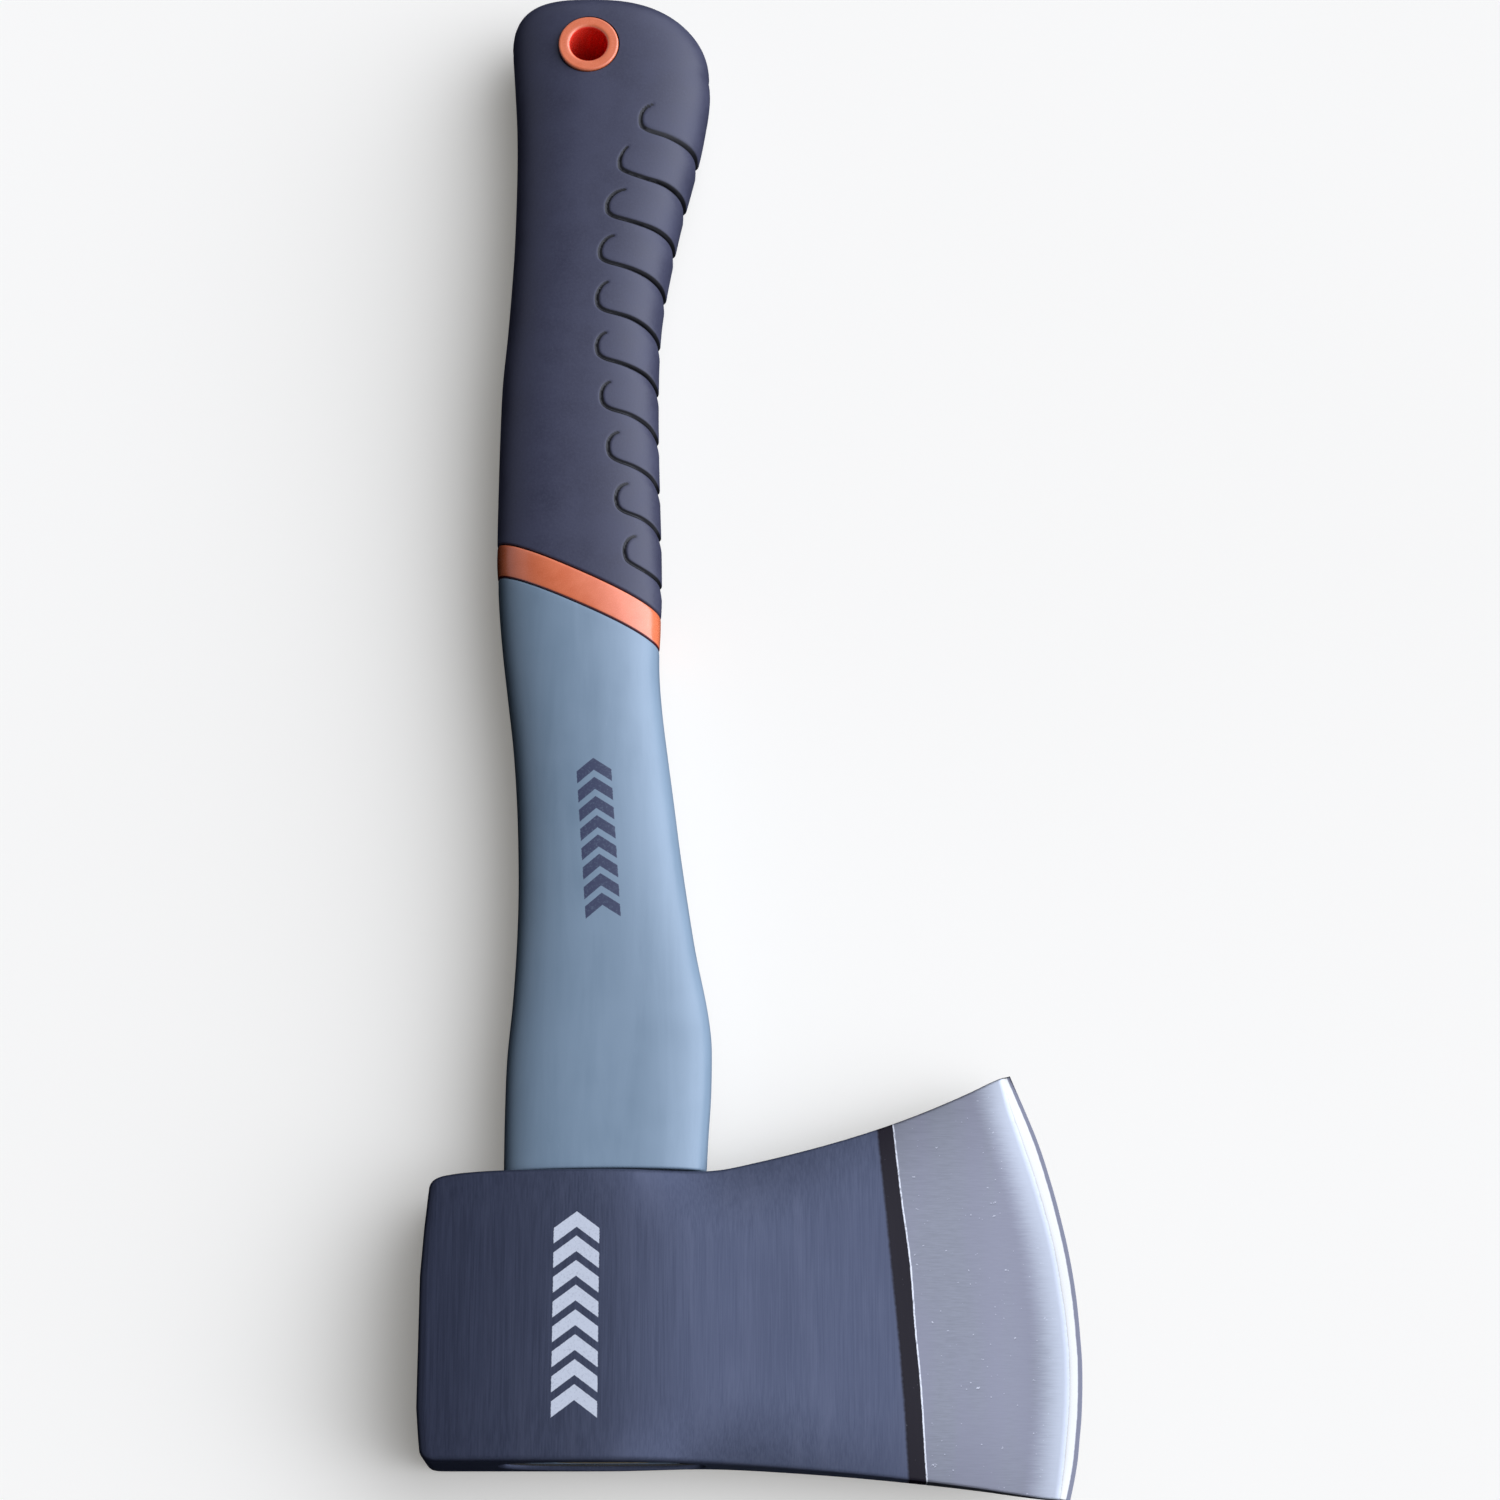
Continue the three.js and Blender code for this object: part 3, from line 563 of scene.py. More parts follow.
# ------------------------------------------------------------------ eyelet
def arc(cx, cy, r, a0, a1, n):
    return [(cx + r * math.cos(math.radians(a0 + (a1 - a0) * k / (n - 1))), cy + r * math.sin(math.radians(a0 + (a1 - a0) * k / (n - 1)))) for k in range(n)]


FACE = 12.2
half = [(4.4, 0.0), (4.4, 5.0), (4.4, 9.0)]
half += arc(5.25, FACE - 0.85, 0.85, 180, 95, 9)
half += [(5.6, FACE), (6.1, FACE), (6.55, FACE - 0.01)]
half += arc(6.7, FACE - 0.5, 0.5, 85, 0, 7)
half += [(7.2, FACE - 1.2), (7.15, FACE - 1.3), (6.3, FACE - 1.3), (5.52, FACE - 1.3), (5.5, FACE - 1.4), (5.5, 5.0), (5.5, 0.0)]
profile = half + [(r, -z) for r, z in half[-2:0:-1]]
eyelet = tidy(loops_mesh("eyelet", cylinder_z("eyelet", EYELET_X, EYELET_Y, profile, 144), closed=True), sharp=40.0)

# ------------------------------------------------------------------ head
HEAD_H = 66.0


def lerp(a, b, t):
    return a + (b - a) * t


def head_line(read, v):
    x = np.full(np.shape(v), 0.0) + (66.0 if read is not poll_t else -70.9)
    for _ in range(14):
        x = read(lerp(low_t(x), top_t(x), v))
    return x


def easing(limits, spacing):
    out = [0.0]
    for d in limits:
        out.append(d)
    return out


near_rim = np.array([0, 0.06, 0.16, 0.3, 0.48, 0.7, 0.95, 1.25, 1.65, 2.2, 3.0, 4.0]) / HEAD_H
vs = np.concatenate([near_rim, np.linspace(5.2 / HEAD_H, 1 - 5.2 / HEAD_H, 66), 1 - near_rim[::-1]])
corner = 2.3
poll_line = head_line(poll_t, vs)
gap_end = np.minimum(vs, 1 - vs) * 61.0
poll_line = poll_line + np.where(gap_end < corner, corner - np.sqrt(np.clip(corner**2 - (corner - gap_end) ** 2, 0, None)), 0)
bevel_line, edge_line = head_line(bevel_t, vs), head_line(edge_t, vs)
us = np.concatenate([np.array([0, 0.08, 0.22, 0.42, 0.68, 1.0, 1.35, 1.75, 2.3, 3.1]) / 138, np.linspace(4.2 / 138, 1, 112)])
xs = poll_line[None] + (bevel_line - poll_line)[None] * us[:, None]
for t in (0.12, 0.3, 0.5, 0.7, 0.86, 0.95, 1.0):
    xs = np.vstack([xs, (bevel_line + (edge_line - bevel_line) * t)[None]])
yy = lerp(low_t(xs), top_t(xs), vs[None])
away = np.abs(2 * vs - 1)
rise = 1 - np.clip((away - 0.4) / 0.6, 0, 1) ** 2.2
tt = lerp(rim_t(xs), mid_t(xs), rise[None])
at_bevel = lerp(rim_t(bevel_line), mid_t(bevel_line), rise)
nb = len(us)
for k, t in enumerate((0.12, 0.3, 0.5, 0.7, 0.86, 0.95, 1.0)):
    tt[nb + k] = at_bevel * (1 - t) ** 0.92 + 0.035
# rounded poll edges and rims
d_poll = xs - poll_line[None]
r_poll = 1.7
tt -= np.where(d_poll < r_poll, r_poll - np.sqrt(np.clip(r_poll**2 - (r_poll - np.clip(d_poll, 0, r_poll)) ** 2, 0, None)), 0)
d_rim = np.minimum(vs, 1 - vs)[None] * HEAD_H * np.ones_like(xs)
r_rim = np.minimum(np.interp(xs, [-70, -25, 0, 40, 72], [1.25, 1.15, 0.8, 0.45, 0.25]), 0.6 * tt)
tt -= np.where(d_rim < r_rim, r_rim - np.sqrt(np.clip(r_rim**2 - (r_rim - np.clip(d_rim, 0, None)) ** 2, 0, None)), 0)
tt = np.maximum(tt, 0.02)
front = np.stack([xs, yy, tt], axis=-1)
back = front * [1, 1, -1]
K = 13
cross = (1 - np.cos(np.linspace(0, math.pi, K))) / 2
sheets = [front, back]
sheets.append(np.stack([lerp(front[:, 0], back[:, 0], k) for k in cross]))
sheets.append(np.stack([lerp(front[:, -1], back[:, -1], k) for k in cross]))
sheets.append(np.stack([lerp(front[0], back[0], k) for k in cross]))
sheets.append(np.stack([lerp(front[-1], back[-1], k) for k in cross]))
verts, quads, base = [], [], 0
for sheet in sheets:
    r, m = sheet.shape[:2]
    g = np.arange(r * m).reshape(r, m) + base
    quads.append(np.stack([g[:-1, :-1], g[:-1, 1:], g[1:, 1:], g[1:, :-1]], axis=-1).reshape(-1, 4))
    verts.append(sheet.reshape(-1, 3))
    base += r * m
head = raw_mesh("head_steel", np.vstack(verts), np.vstack(quads))
tidy(head, merge=2e-7)


def eye_rows(steps, count=160):
    ang = np.linspace(0, 2 * math.pi, count, endpoint=False)
    out = []
    for y, grow in steps:
        t = min(1.0, max(0.0, (y + 161.3) / 62.7))
        x, z = oval(EYE_X, lerp(21.8, 21.0, t) + grow, lerp(6.7, 6.1, t) + grow, 2.6, ang)
        out.append(np.stack([x, np.full(count, y), z], axis=-1))
    return np.array(out)


cut = eye_rows([(-166, 2.4), (-162.0, 1.2), (-161.2, 0.4), (-160.9, 0.12), (-160.4, 0.0), (-100, 0.0), (-99.2, 0.1), (-94, 0.3)])
boolean(head, tidy(loops_mesh("cutter_eye", cut, start_pole=(EYE_X, -166, 0), end_pole=(EYE_X, -94, 0))))
tidy(head, sharp=32.0, merge=1e-6)

# ------------------------------------------------------------------ epoxy bed and core
ang_n = 120


def oval_row(y, a, b, n, wave=0.0):
    ang = np.linspace(0, 2 * math.pi, ang_n, endpoint=False)
    x, z = oval(EYE_X, a, b, n, ang)
    return np.stack([x, np.full(ang_n, y) + wave * np.sin(ang * 5 + 0.6) + wave * np.sin(ang * 11), z], axis=-1)


rows = [oval_row(-99.6, 20.8, 5.9, 2.6), oval_row(-130, 21.2, 6.2, 2.6), oval_row(-158, 21.55, 6.47, 2.6), oval_row(-160.35, 21.6, 6.5, 2.6)]
rows += [oval_row(-160.05, 21.35, 6.3, 2.6, 0.02), oval_row(-159.8, 21.0, 6.05, 2.6, 0.05), oval_row(-159.7, 20.6, 5.7, 2.6, 0.06), oval_row(-159.75, 20.2, 5.4, 2.6, 0.05), oval_row(-159.9, 19.85, 5.1, 2.6, 0.03), oval_row(-160.1, 19.62, 4.9, 2.6)]
rows += [oval_row(-158, 19.6, 4.9, 2.6), oval_row(-130, 19.6, 4.9, 2.6), oval_row(-99.6, 19.6, 4.9, 2.6)]
bed = tidy(loops_mesh("epoxy_bed", np.array(rows), closed=True), sharp=50.0)

rows = []
for y, inset in ((-160.2, 0.25), (-160.12, 0.08), (-159.95, 0.0), (-120, 0.0), (-60, 0.0), (0, 0.0), (60, 0.0), (120, 0.0), (149.8, 0.0), (150.0, 0.2)):
    ang = np.linspace(0, 2 * math.pi, 96, endpoint=False)
    x, z = oval(core_x(y), 10.5 - inset, 3.1 - inset, 3.2, ang)
    rows.append(np.stack([x, np.full(96, float(y)), z], axis=-1))
core = tidy(loops_mesh("fibre_core", np.array(rows), start_pole=(core_x(-160.2), -160.2, 0), end_pole=(core_x(150), 150.0, 0)), sharp=40.0)

# ------------------------------------------------------------------ attributes for the materials
p = points_mm(grip)
inside = (p[:, 1] > 34) & (p[:, 1] < 165)
seam_painted_shade = np.zeros(len(p))
c_, a_, b_, n_ = section(p[inside, 1])
u_ = np.clip((p[inside, 0] - c_) / (a_ + 0.15), -1, 1)
w_ = np.abs(p[inside, 2]) / (b_ + 0.15)
ang_ = np.arctan2(w_, u_)
arcs = np.empty(len(ang_))
idx_ = np.clip(((p[inside, 1] - _YS[0]) / (_YS[1] - _YS[0])).round().astype(int), 0, len(_YS) - 1)
for k in np.unique(idx_):
    m = idx_ == k
    arcs[m] = np.interp(ang_[m], _ANG, _arc[k])
outside = (np.abs(u_) ** n_ + w_**n_) > 0.8
_, g_ = pad_relief(arcs, p[inside, 1])
seam_painted_shade[inside] = np.where(outside, g_, 0)
# seam: where the grooves between the grip's pads get painted shade
attribute(grip, "seam", seam_painted_shade)
p = points_mm(band)
# seam: the accent ring's lower edge, which gets a painted shade line
attribute(band, "seam", np.clip(1 - (p[:, 1] - seam_y(BAND_SEAM_Y, p[:, 0])) / 0.5, 0, 1))
p = points_mm(eyelet)
attribute(eyelet, "bore", np.clip((4.75 - np.hypot(p[:, 0] - EYELET_X, p[:, 1] - EYELET_Y)) / 0.3, 0, 1))

p = points_mm(head)
attribute(head, "band_l", p[:, 0] - band_l_t(p[:, 1]))
attribute(head, "band_r", p[:, 0] - band_r_t(p[:, 1]))
attribute(head, "honed", p[:, 0] - bevel_t(p[:, 1]))
attribute(head, "keen", edge_t(p[:, 1]) - p[:, 0])
attribute(head, "rim", np.minimum(top_t(p[:, 0]) - p[:, 1], p[:, 1] - low_t(p[:, 0])))

# ------------------------------------------------------------------ node helpers
class Shader:
    def __init__(self, name):
        self.mat = bpy.data.materials.new(name)
        self.mat.use_nodes = True
        self.nt = self.mat.node_tree
        self.bsdf = next(n for n in self.nt.nodes if n.type == "BSDF_PRINCIPLED")
        self.place = self.node("ShaderNodeTexCoord").outputs["Object"]

    def node(self, kind, **props):
        n = self.nt.nodes.new(kind)
        for k, v in props.items():
            setattr(n, k, v)
        return n

    def put(self, socket, value):
        if isinstance(value, bpy.types.NodeSocket):
            self.nt.links.new(value, socket)
        elif isinstance(value, (tuple, list)) and len(value) == 3 and socket.type == "RGBA":
            socket.default_value = (*value, 1.0)
        else:
            socket.default_value = value

    def math(self, op, a, b=0.0, c=0.0, clamp=False):
        n = self.node("ShaderNodeMath", operation=op, use_clamp=clamp)
        for s, v in zip(n.inputs, (a, b, c)):
            self.put(s, v)
        return n.outputs[0]

    def mapped(self, scale=(1, 1, 1), rotation=(0, 0, 0), location=(0, 0, 0)):
        n = self.node("ShaderNodeMapping")
        self.put(n.inputs["Vector"], self.place)
        n.inputs["Scale"].default_value = scale
        n.inputs["Rotation"].default_value = rotation
        n.inputs["Location"].default_value = location
        return n.outputs[0]

    def noise(self, vector, scale, detail=2.0, rough=0.5, distortion=0.0):
        n = self.node("ShaderNodeTexNoise")
        self.put(n.inputs["Vector"], vector)
        n.inputs["Scale"].default_value = scale
        n.inputs["Detail"].default_value = detail
        n.inputs["Roughness"].default_value = rough
        n.inputs["Distortion"].default_value = distortion
        return n.outputs["Fac"]

    def voronoi(self, vector, scale, feature="F1"):
        n = self.node("ShaderNodeTexVoronoi", feature=feature)
        self.put(n.inputs["Vector"], vector)
        n.inputs["Scale"].default_value = scale
        return n.outputs["Distance"]

    def step(self, value, low, high, a=0.0, b=1.0, smoothly=True):
        n = self.node("ShaderNodeMapRange", interpolation_type="SMOOTHSTEP" if smoothly else "LINEAR")
        for s, v in zip((n.inputs["Value"], n.inputs["From Min"], n.inputs["From Max"], n.inputs["To Min"], n.inputs["To Max"]), (value, low, high, a, b)):
            self.put(s, v)
        return n.outputs["Result"]

    def mix(self, fac, a, b, blend="MIX"):
        n = self.node("ShaderNodeMix", data_type="RGBA", blend_type=blend)
        self.put(n.inputs[0], fac)
        self.put(n.inputs[6], a)
        self.put(n.inputs[7], b)
        return n.outputs[2]

    def value(self, name):
        return self.node("ShaderNodeAttribute", attribute_name=name).outputs["Fac"]

    def bump(self, height, strength, distance, normal=None):
        n = self.node("ShaderNodeBump")
        n.inputs["Strength"].default_value = strength
        n.inputs["Distance"].default_value = distance
        self.put(n.inputs["Height"], height)
        if normal is not None:
            self.put(n.inputs["Normal"], normal)
        return n.outputs[0]

    def split(self):
        n = self.node("ShaderNodeSeparateXYZ")
        self.put(n.inputs[0], self.place)
        return n.outputs

    def motif(self, x, y, turn, half_w, half_l, pitch):
        """A printed stack of plain chevrons on the upper side, centred at (x, y)."""
        n = self.node("ShaderNodeMapping", vector_type="TEXTURE")
        self.put(n.inputs["Vector"], self.place)
        n.inputs["Location"].default_value = ((x + SHIFT[0]) * MM, (y + SHIFT[1]) * MM, SHIFT[2] * MM)
        n.inputs["Rotation"].default_value = (0.0, 0.0, math.radians(turn))
        n.inputs["Scale"].default_value = (MM, MM, MM)
        q = self.node("ShaderNodeSeparateXYZ")
        self.put(q.inputs[0], n.outputs[0])
        across = self.math("ABSOLUTE", q.outputs["X"])
        ragged = self.math("MULTIPLY", self.math("SUBTRACT", self.noise(self.place, 2600, 2, 0.6), 0.5), 0.35)
        wave = self.math("ADD", q.outputs["Y"], self.math("MULTIPLY", self.math("SUBTRACT", across, half_w / 2), 0.75))
        inside = self.math("MULTIPLY", self.step(self.math("ADD", across, ragged), half_w + 0.07, half_w - 0.07), self.math("LESS_THAN", self.math("ABSOLUTE", wave), half_l))
        bars = self.step(self.math("ADD", self.math("PINGPONG", wave, pitch / 2), self.math("MULTIPLY", ragged, 0.5)), 0.17 * pitch, 0.17 * pitch + 0.14)
        return self.math("MULTIPLY", self.math("MULTIPLY", inside, bars), self.math("GREATER_THAN", q.outputs["Z"], 2.0))

    def set(self, **values):
        for k, v in values.items():
            self.put(self.bsdf.inputs[k.replace("_", " ")], v)
        return self.mat


def srgb(r, g, b):
    return tuple((v / 255 / 12.92) if v / 255 <= 0.04045 else ((v / 255 + 0.055) / 1.055) ** 2.4 for v in (r, g, b))


# ------------------------------------------------------------------ materials
# moulded rubber
m = Shader("grip_rubber")
cloud = m.noise(m.place, 90, 3, 0.55)
fine = m.noise(m.place, 5200, 2, 0.6)
grain = m.noise(m.place, 1700, 3, 0.6)
base = m.mix(m.step(cloud, 0.3, 0.7), (0.040, 0.041, 0.071), (0.050, 0.052, 0.088))
base = m.mix(m.step(grain, 0.35, 0.75, 0.0, 0.35), base, (0.068, 0.072, 0.11))
dust = m.step(m.noise(m.mapped((1, 0.5, 1)), 420, 5, 0.75), 0.62, 0.74, 0.0, 0.3)
base = m.mix(dust, base, (0.09, 0.095, 0.13))
seam = m.value("seam")
# painted shade: the grooves between the pads are darkened nearly to black
base = m.mix(m.step(seam, 0.05, 0.30), base, (0.002, 0.002, 0.004))
rough = m.math("ADD", m.step(cloud, 0.3, 0.7, 0.46, 0.54), m.step(grain, 0.3, 0.7, -0.03, 0.05))
height = m.math("ADD", m.math("MULTIPLY", fine, 0.6), m.math("MULTIPLY", grain, 0.7))
rubber = m.set(Base_Color=base, Roughness=rough, Normal=m.bump(height, 0.35, 0.00006))
rubber.node_tree.nodes["Principled BSDF"].inputs["Specular IOR Level"].default_value = 0.45

# moulded polypropylene
m = Shader("handle_plastic")
flow = m.noise(m.mapped((1, 0.12, 1)), 160, 4, 0.6, 0.4)
fine = m.noise(m.place, 4200, 2, 0.6)
cloud = m.noise(m.place, 60, 2, 0.5)
base = m.mix(m.step(flow, 0.3, 0.72), (0.195, 0.272, 0.340), (0.230, 0.312, 0.385))
base = m.mix(m.step(cloud, 0.35, 0.7, 0.0, 0.4), base, (0.25, 0.335, 0.41))
scuff = m.step(m.noise(m.mapped((3.2, 0.35, 3.2), (0, 0, 0.5)), 700, 4, 0.7), 0.68, 0.78, 0.0, 0.4)
base = m.mix(scuff, base, (0.36, 0.43, 0.50))
ink = m.motif(-33.9, -23.5, 4.2, 3.9, 18.0, 4.5)
base = m.mix(m.math("MULTIPLY", ink, m.step(m.noise(m.place, 1900, 3, 0.7), 0.28, 0.5, 0.72, 0.96)), base, (0.040, 0.046, 0.095))
rough = m.math("ADD", m.step(flow, 0.3, 0.7, 0.36, 0.42), m.math("MULTIPLY", scuff, 0.25))
plastic = m.set(Base_Color=base, Roughness=rough, Normal=m.bump(m.math("ADD", fine, m.math("MULTIPLY", flow, 1.5)), 0.22, 0.00005))

# glossy orange plastic
m = Shader("accent_plastic")
cloud = m.noise(m.place, 300, 3, 0.5)
fine = m.noise(m.place, 3500, 2, 0.5)
base = m.mix(m.step(cloud, 0.3, 0.7), (0.82, 0.190, 0.076), (0.88, 0.222, 0.096))
speck = m.step(m.noise(m.place, 2600, 3, 0.6), 0.66, 0.74, 0.0, 0.35)
base = m.mix(speck, base, (0.82, 0.28, 0.16))
# painted shade: a thin dark line along the ring's lower seam
base = m.mix(m.step(m.value("seam"), 0.15, 0.5), base, (0.10, 0.012, 0.016))
# painted light: the bore is coloured a deeper red than the ring, for the light that passes through its thin wall
base = m.mix(m.step(m.value("bore"), 0.2, 0.8), base, (0.92, 0.055, 0.030))
accent = m.set(Base_Color=base, Roughness=m.step(fine, 0.3, 0.7, 0.22, 0.3), Normal=m.bump(cloud, 0.12, 0.00008))
accent.node_tree.nodes["Principled BSDF"].inputs["Coat Weight"].default_value = 0.6
accent.node_tree.nodes["Principled BSDF"].inputs["Coat Roughness"].default_value = 0.18

# painted, ground and honed steel
m = Shader("head_steel")
lines = m.noise(m.mapped((1, 0.02, 1)), 2600, 4, 0.6)
broad = m.noise(m.mapped((1, 0.1, 1)), 220, 4, 0.6, 0.6)
cloud = m.noise(m.place, 45, 3, 0.5)
paint_c = m.mix(m.step(lines, 0.3, 0.72), (0.075, 0.088, 0.135), (0.098, 0.113, 0.168))
paint_c = m.mix(m.step(broad, 0.45, 0.75, 0.0, 0.4), paint_c, (0.125, 0.14, 0.20))
paint_c = m.mix(m.step(cloud, 0.4, 0.7, 0.0, 0.25), paint_c, (0.070, 0.080, 0.125))
chip = m.step(m.noise(m.place, 1500, 4, 0.7), 0.74, 0.77, 0.0, 0.6)
paint_c = m.mix(chip, paint_c, (0.16, 0.17, 0.21))
ink = m.math("MULTIPLY", m.motif(-37.3, -130.2, 0.0, 4.9, 21.2, 5.3), m.step(m.noise(m.place, 2100, 3, 0.7), 0.28, 0.5, 0.8, 1.0))
wobble = m.math("MULTIPLY", m.math("SUBTRACT", m.noise(m.mapped((1, 1, 1)), 900, 3, 0.6), 0.5), 0.5)
band_l = m.math("ADD", m.value("band_l"), wobble)
band_r = m.math("ADD", m.value("band_r"), m.math("MULTIPLY", wobble, 0.5))
honed = m.math("ADD", m.value("honed"), m.math("MULTIPLY", wobble, 0.7))
lacquer = m.step(band_l, -0.35, 0.45)
bare = m.step(band_r, -0.05, 0.12)
# painted highlight: a thin bright line along the ground zone's left edge, broken up by noise
painted_highlight_breaks = m.noise(m.mapped((1, 0.6, 1)), 1500, 3, 0.7)
edge_line_painted_highlight = m.math("MULTIPLY", m.math("MULTIPLY", m.step(band_r, -0.1, 0.0), m.step(band_r, 0.36, 0.2)), m.step(painted_highlight_breaks, 0.34, 0.5, 0.35, 1.0))
hone = m.step(honed, -0.12, 0.12)
# painted shade: the paint is darkened toward the poll side of the head
poll_side_painted_shade = m.step(m.split()["X"], -0.075, 0.0, 0.0, 1.0)
paint_c = m.mix(poll_side_painted_shade, m.mix(1.0, paint_c, (0.42, 0.42, 0.46), "MULTIPLY"), paint_c)
paint_c = m.mix(ink, paint_c, (0.62, 0.65, 0.70))
dot = m.step(m.noise(m.place, 1700, 2, 0.6), 0.735, 0.765, 0.0, 0.6)
base = m.mix(lacquer, paint_c, m.mix(dot, (0.009, 0.006, 0.011), (0.20, 0.19, 0.21)))
scratch = m.noise(m.mapped((0.03, 1, 1)), 3200, 4, 0.65)
speckle = m.noise(m.mapped((0.8, 1, 1)), 1150, 2, 0.6)
# painted glints: small bright specks on the ground steel, each with a painted shadow 0.3 mm beside it
speck_painted_glint = m.step(speckle, 0.70, 0.745, 0.0, 0.85)
speck_painted_shadow = m.step(m.noise(m.mapped((0.8, 1, 1), (0, 0, 0), (0.0, 0.0003, 0.0)), 1150, 2, 0.6), 0.70, 0.745, 0.0, 0.35)
tone = m.noise(m.mapped((1, 0.15, 1)), 130, 2, 0.5)
steel_c = m.mix(m.step(scratch, 0.3, 0.72), (0.212, 0.219, 0.245), (0.256, 0.265, 0.295))
steel_c = m.mix(m.step(tone, 0.35, 0.65, 0.0, 0.5), steel_c, (0.238, 0.236, 0.285))
# painted shadow beside each speck, then the painted glint itself
steel_c = m.mix(speck_painted_shadow, steel_c, (0.10, 0.10, 0.12))
steel_c = m.mix(speck_painted_glint, steel_c, (0.55, 0.56, 0.60))
keen = m.value("keen")
# painted highlight: the ground steel is lightened toward the honed bevel
bit_painted_highlight = m.math("MULTIPLY", m.step(m.math("ADD", honed, m.math("MULTIPLY", scratch, 3.0)), -7.0, 1.2, 0.0, 1.0), 1.0)
steel_c = m.mix(bit_painted_highlight, steel_c, (0.50, 0.53, 0.575))
base = m.mix(bare, base, steel_c)
# painted highlight along the ground zone's edge
base = m.mix(m.math("MULTIPLY", edge_line_painted_highlight, 0.9), base, (0.80, 0.81, 0.83))
base = m.mix(hone, base, (0.315, 0.312, 0.29))
# painted dark reflection: a thin dark line along the very cutting edge
base = m.mix(m.step(m.math("ADD", keen, m.math("MULTIPLY", wobble, 0.5)), 1.15, 0.85), base, (0.085, 0.087, 0.105))
metal = m.math("MAXIMUM", m.math("MAXIMUM", bare, hone), m.math("MULTIPLY", m.step(band_l, 0.45, -0.35, 0.0, 0.6), m.math("SUBTRACT", 1.0, ink)))
rough = m.mix(lacquer, m.step(lines, 0.3, 0.7, 0.40, 0.52), (0.27, 0.27, 0.27))
rough = m.mix(bare, rough, m.step(scratch, 0.3, 0.7, 0.34, 0.46))
rough = m.mix(hone, rough, (0.24, 0.24, 0.24))
h_paint = m.math("ADD", m.math("MULTIPLY", lines, 0.8), m.math("MULTIPLY", broad, 0.8))
height = m.mix(bare, m.mix(lacquer, h_paint, m.math("MULTIPLY", broad, 0.3)), m.math("MULTIPLY", scratch, 0.45))
steel = m.set(Base_Color=base, Metallic=metal, Roughness=rough, Normal=m.bump(height, 0.3, 0.00006))
steel.node_tree.nodes["Principled BSDF"].inputs["Specular IOR Level"].default_value = 0.22

# pultruded glass fibre, seen on its end
m = Shader("core_fibre")
ends = m.voronoi(m.mapped((1, 0.02, 1)), 4200)
streak = m.noise(m.mapped((1, 0.01, 1)), 1800, 4, 0.6)
base = m.mix(m.step(ends, 0.05, 0.5), (0.62, 0.52, 0.30), (0.40, 0.31, 0.16))
base = m.mix(m.step(streak, 0.4, 0.7, 0.0, 0.5), base, (0.72, 0.64, 0.42))
fibre = m.set(Base_Color=base, Roughness=m.step(streak, 0.3, 0.7, 0.45, 0.6), Normal=m.bump(ends, 0.4, 0.00008))

# cast epoxy
m = Shader("eye_resin")
cloud = m.noise(m.place, 350, 4, 0.6)
pits = m.voronoi(m.place, 1300)
base = m.mix(m.step(cloud, 0.3, 0.7), (0.010, 0.009, 0.008), (0.022, 0.019, 0.016))
height = m.math("ADD", cloud, m.math("MULTIPLY", m.step(pits, 0.0, 0.22), 0.6))
resin = m.set(Base_Color=base, Roughness=m.step(cloud, 0.3, 0.7, 0.2, 0.36), Normal=m.bump(height, 0.35, 0.0002))

# ------------------------------------------------------------------ pieces on the frame
for ob, mat, node, slot in (
    (head, steel, "axe_head", "head_steel"),
    (core, fibre, "fibreglass_core", "core_fibre"),
    (handle, plastic, "handle_moulding", "handle_plastic"),
    (bed, resin, "epoxy_eye_bed", "eye_resin"),
    (grip, rubber, "rubber_grip", "grip_rubber"),
    (band, accent, "accent_ring", "accent_plastic"),
    (eyelet, accent, "hang_hole_eyelet", "accent_plastic"),
):
    ob.data.materials.clear()
    ob.data.materials.append(mat)
    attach(ob, "root")
    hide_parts(node)

# ------------------------------------------------------------------ stage
me = bpy.data.meshes.new("floor")
bm = bmesh.new()
for x, y in ((-12, -12), (12, -12), (12, 12), (-12, 12)):
    bm.verts.new((x, y, -0.0002))
bm.faces.new(bm.verts)
bm.to_mesh(me)
bm.free()
floor = bpy.data.objects.new("floor", me)
bpy.context.scene.collection.objects.link(floor)
m = Shader("floor_pale")
floor_c = m.mix(m.step(m.noise(m.place, 3, 2, 0.5), 0.3, 0.7), (0.86, 0.825, 0.73), (0.88, 0.845, 0.75))
me.materials.append(m.set(Base_Color=floor_c, Roughness=0.9))
m.bsdf.inputs["Specular IOR Level"].default_value = 0.0
m.bsdf.inputs["Emission Color"].default_value = (1.0, 0.97, 0.90, 1.0)
m.bsdf.inputs["Emission Strength"].default_value = 0.20
floor.visible_diffuse = False
floor.visible_glossy = False


# a broad soft light that grows from overhead toward the right, dark at the left
SOFT = ((-1.0, 0.015), (-0.70, 0.02), (-0.35, 0.03), (-0.12, 0.085), (0.05, 0.72), (0.20, 1.40), (0.50, 2.75), (0.80, 3.90), (1.0, 4.0))
WALLS = ((-1.0, 0.0), (-0.02, 0.0), (0.10, 0.30), (0.22, 0.62), (0.68, 0.60), (0.80, 0.06), (1.0, 0.0))
ENDS = ((-1.0, 0.15), (-0.55, 0.25), (-0.25, 1.0), (0.60, 1.0), (0.90, 0.6), (1.0, 0.5))
world = bpy.data.worlds.new("studio")
world.use_nodes = True


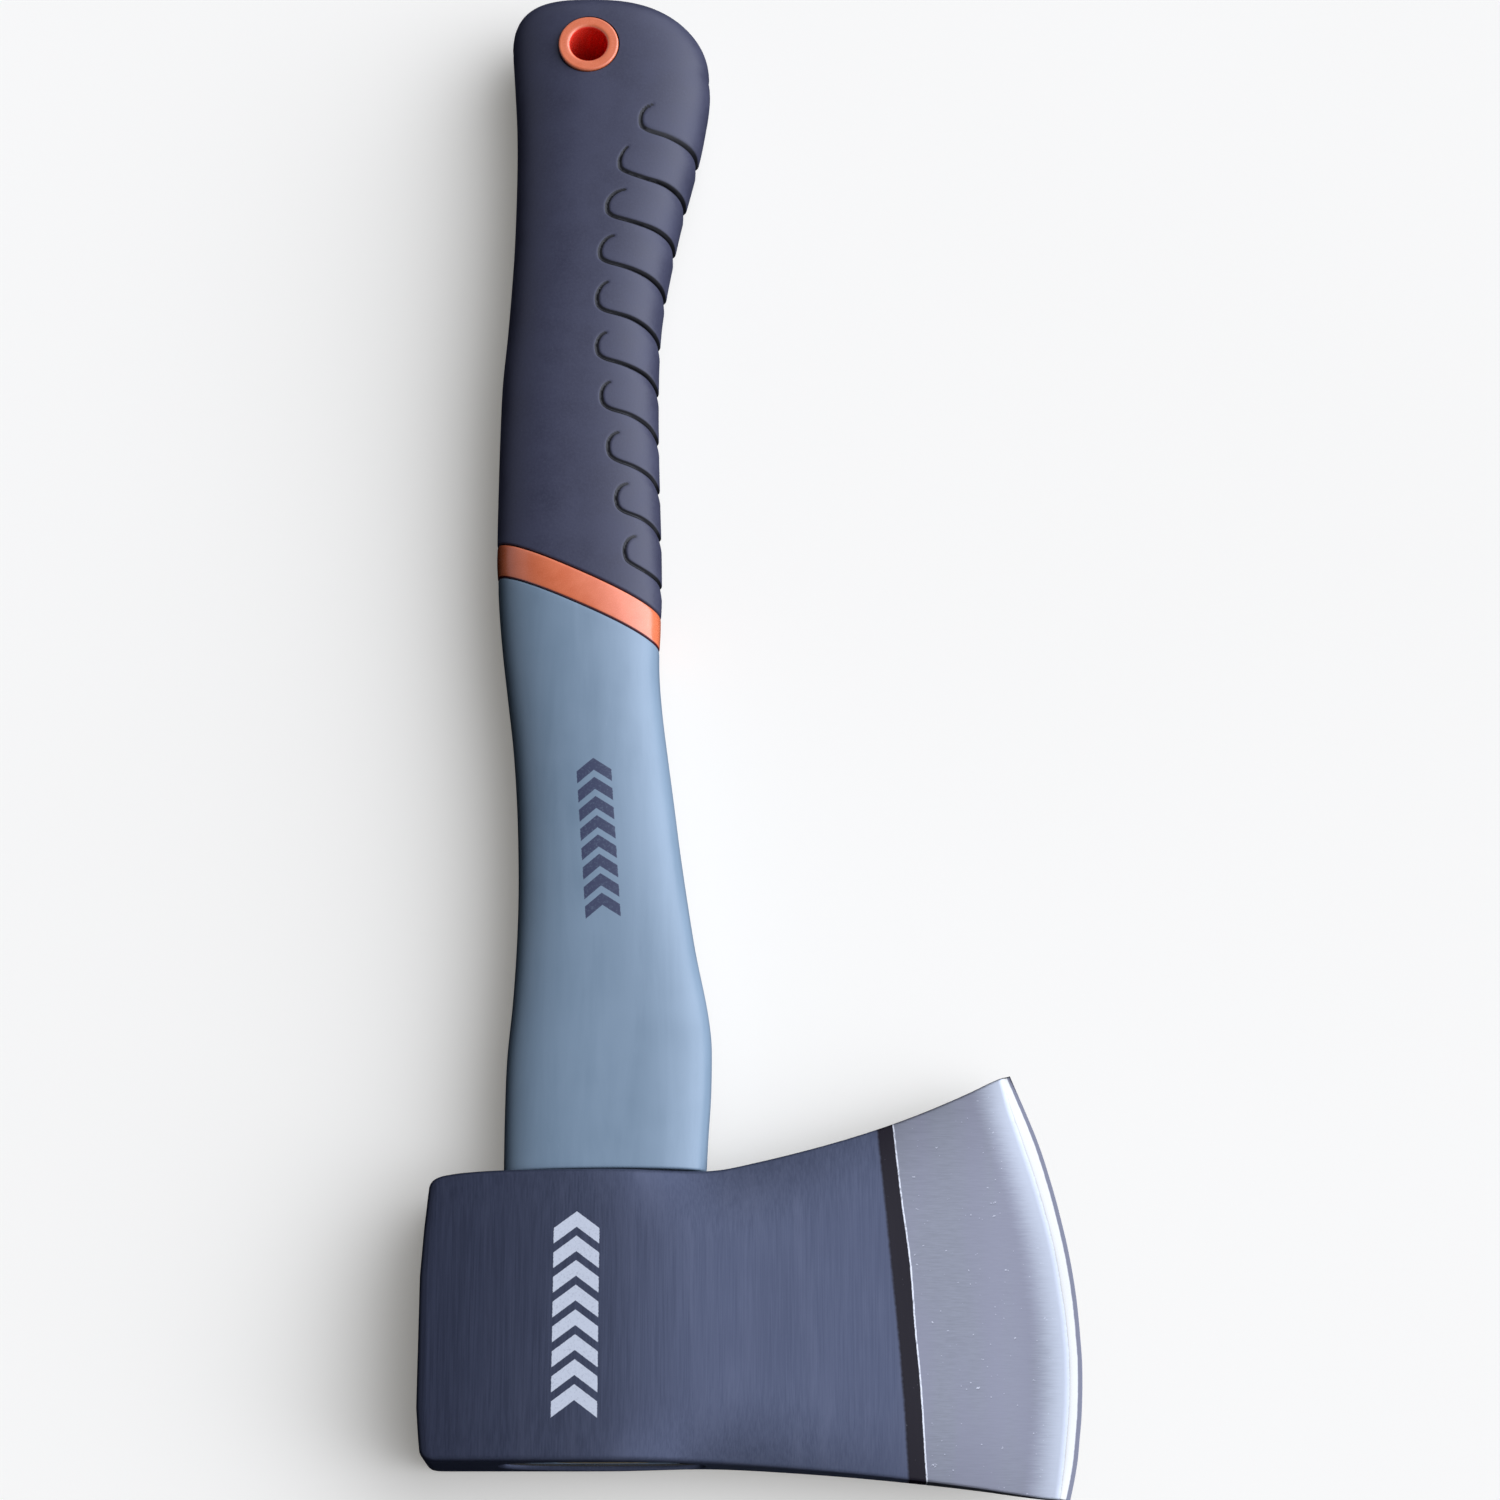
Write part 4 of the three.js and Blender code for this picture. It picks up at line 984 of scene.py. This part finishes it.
def soft_light(tree):
    node = tree.nodes.new
    split = node("ShaderNodeSeparateXYZ")
    tree.links.new(node("ShaderNodeTexCoord").outputs["Generated"], split.inputs[0])

    def profile(out, stops):
        top = max(v for _, v in stops)
        remap = node("ShaderNodeMapRange")
        remap.inputs["From Min"].default_value, remap.inputs["From Max"].default_value = -1.0, 1.0
        tree.links.new(out, remap.inputs["Value"])
        ramp = node("ShaderNodeValToRGB")
        ramp.color_ramp.interpolation = "EASE"
        while len(ramp.color_ramp.elements) < len(stops):
            ramp.color_ramp.elements.new(0.5)
        for el, (at, v) in zip(ramp.color_ramp.elements, stops):
            el.position = (at + 1.0) / 2.0
            el.color = (v / top, v / top, v / top, 1.0)
        tree.links.new(remap.outputs["Result"], ramp.inputs["Fac"])
        gain = node("ShaderNodeMath")
        gain.operation = "MULTIPLY"
        gain.inputs[1].default_value = top
        tree.links.new(ramp.outputs["Color"], gain.inputs[0])
        return gain.outputs[0]

    above = node("ShaderNodeMath")
    above.operation = "GREATER_THAN"
    above.inputs[1].default_value = -0.01
    tree.links.new(split.outputs["Z"], above.inputs[0])
    total = profile(split.outputs["X"], SOFT)
    for other in (profile(split.outputs["Y"], ENDS), above.outputs[0]):
        product = node("ShaderNodeMath")
        product.operation = "MULTIPLY"
        tree.links.new(total, product.inputs[0])
        tree.links.new(other, product.inputs[1])
        total = product.outputs[0]
    # the studio's pale walls, low round the sides, show only in reflections
    path = node("ShaderNodeLightPath")
    walls = node("ShaderNodeMath")
    walls.operation = "MULTIPLY"
    tree.links.new(profile(split.outputs["Z"], WALLS), walls.inputs[0])
    tree.links.new(path.outputs["Is Glossy Ray"], walls.inputs[1])
    most = node("ShaderNodeMath")
    most.operation = "MAXIMUM"
    tree.links.new(total, most.inputs[0])
    tree.links.new(walls.outputs[0], most.inputs[1])
    tree.links.new(most.outputs[0], tree.nodes["Background"].inputs["Strength"])
    tree.nodes["Background"].inputs["Color"].default_value = (0.88, 0.93, 1.08, 1.0)
    # a plain pale wall where the camera looks past the floor
    wall = node("ShaderNodeBackground")
    wall.inputs["Color"].default_value = (0.93, 0.94, 0.95, 1.0)
    pick = node("ShaderNodeMixShader")
    tree.links.new(path.outputs["Is Camera Ray"], pick.inputs["Fac"])
    tree.links.new(tree.nodes["Background"].outputs[0], pick.inputs[1])
    tree.links.new(wall.outputs[0], pick.inputs[2])
    tree.links.new(pick.outputs[0], tree.nodes["World Output"].inputs["Surface"])


soft_light(world.node_tree)
bpy.context.scene.world = world

TILT, EYE_Z, FOCAL_PX = math.radians(18.2), 783.0, 3621.0
eye = np.array([0.0, -EYE_Z * math.tan(TILT), EYE_Z]) + SHIFT
cam_data = bpy.data.cameras.new("camera")
cam_data.sensor_fit, cam_data.sensor_width = "HORIZONTAL", 36.0
cam_data.lens = FOCAL_PX / 1500.0 * 36.0
cam_data.clip_start, cam_data.clip_end = 0.01, 50.0
camera = bpy.data.objects.new("camera", cam_data)
bpy.context.scene.collection.objects.link(camera)
camera.location = Vector(eye * MM)
camera.rotation_euler = (TILT, 0.0, 0.0)
bpy.context.scene.camera = camera
bpy.context.scene.view_settings.view_transform = "Standard"
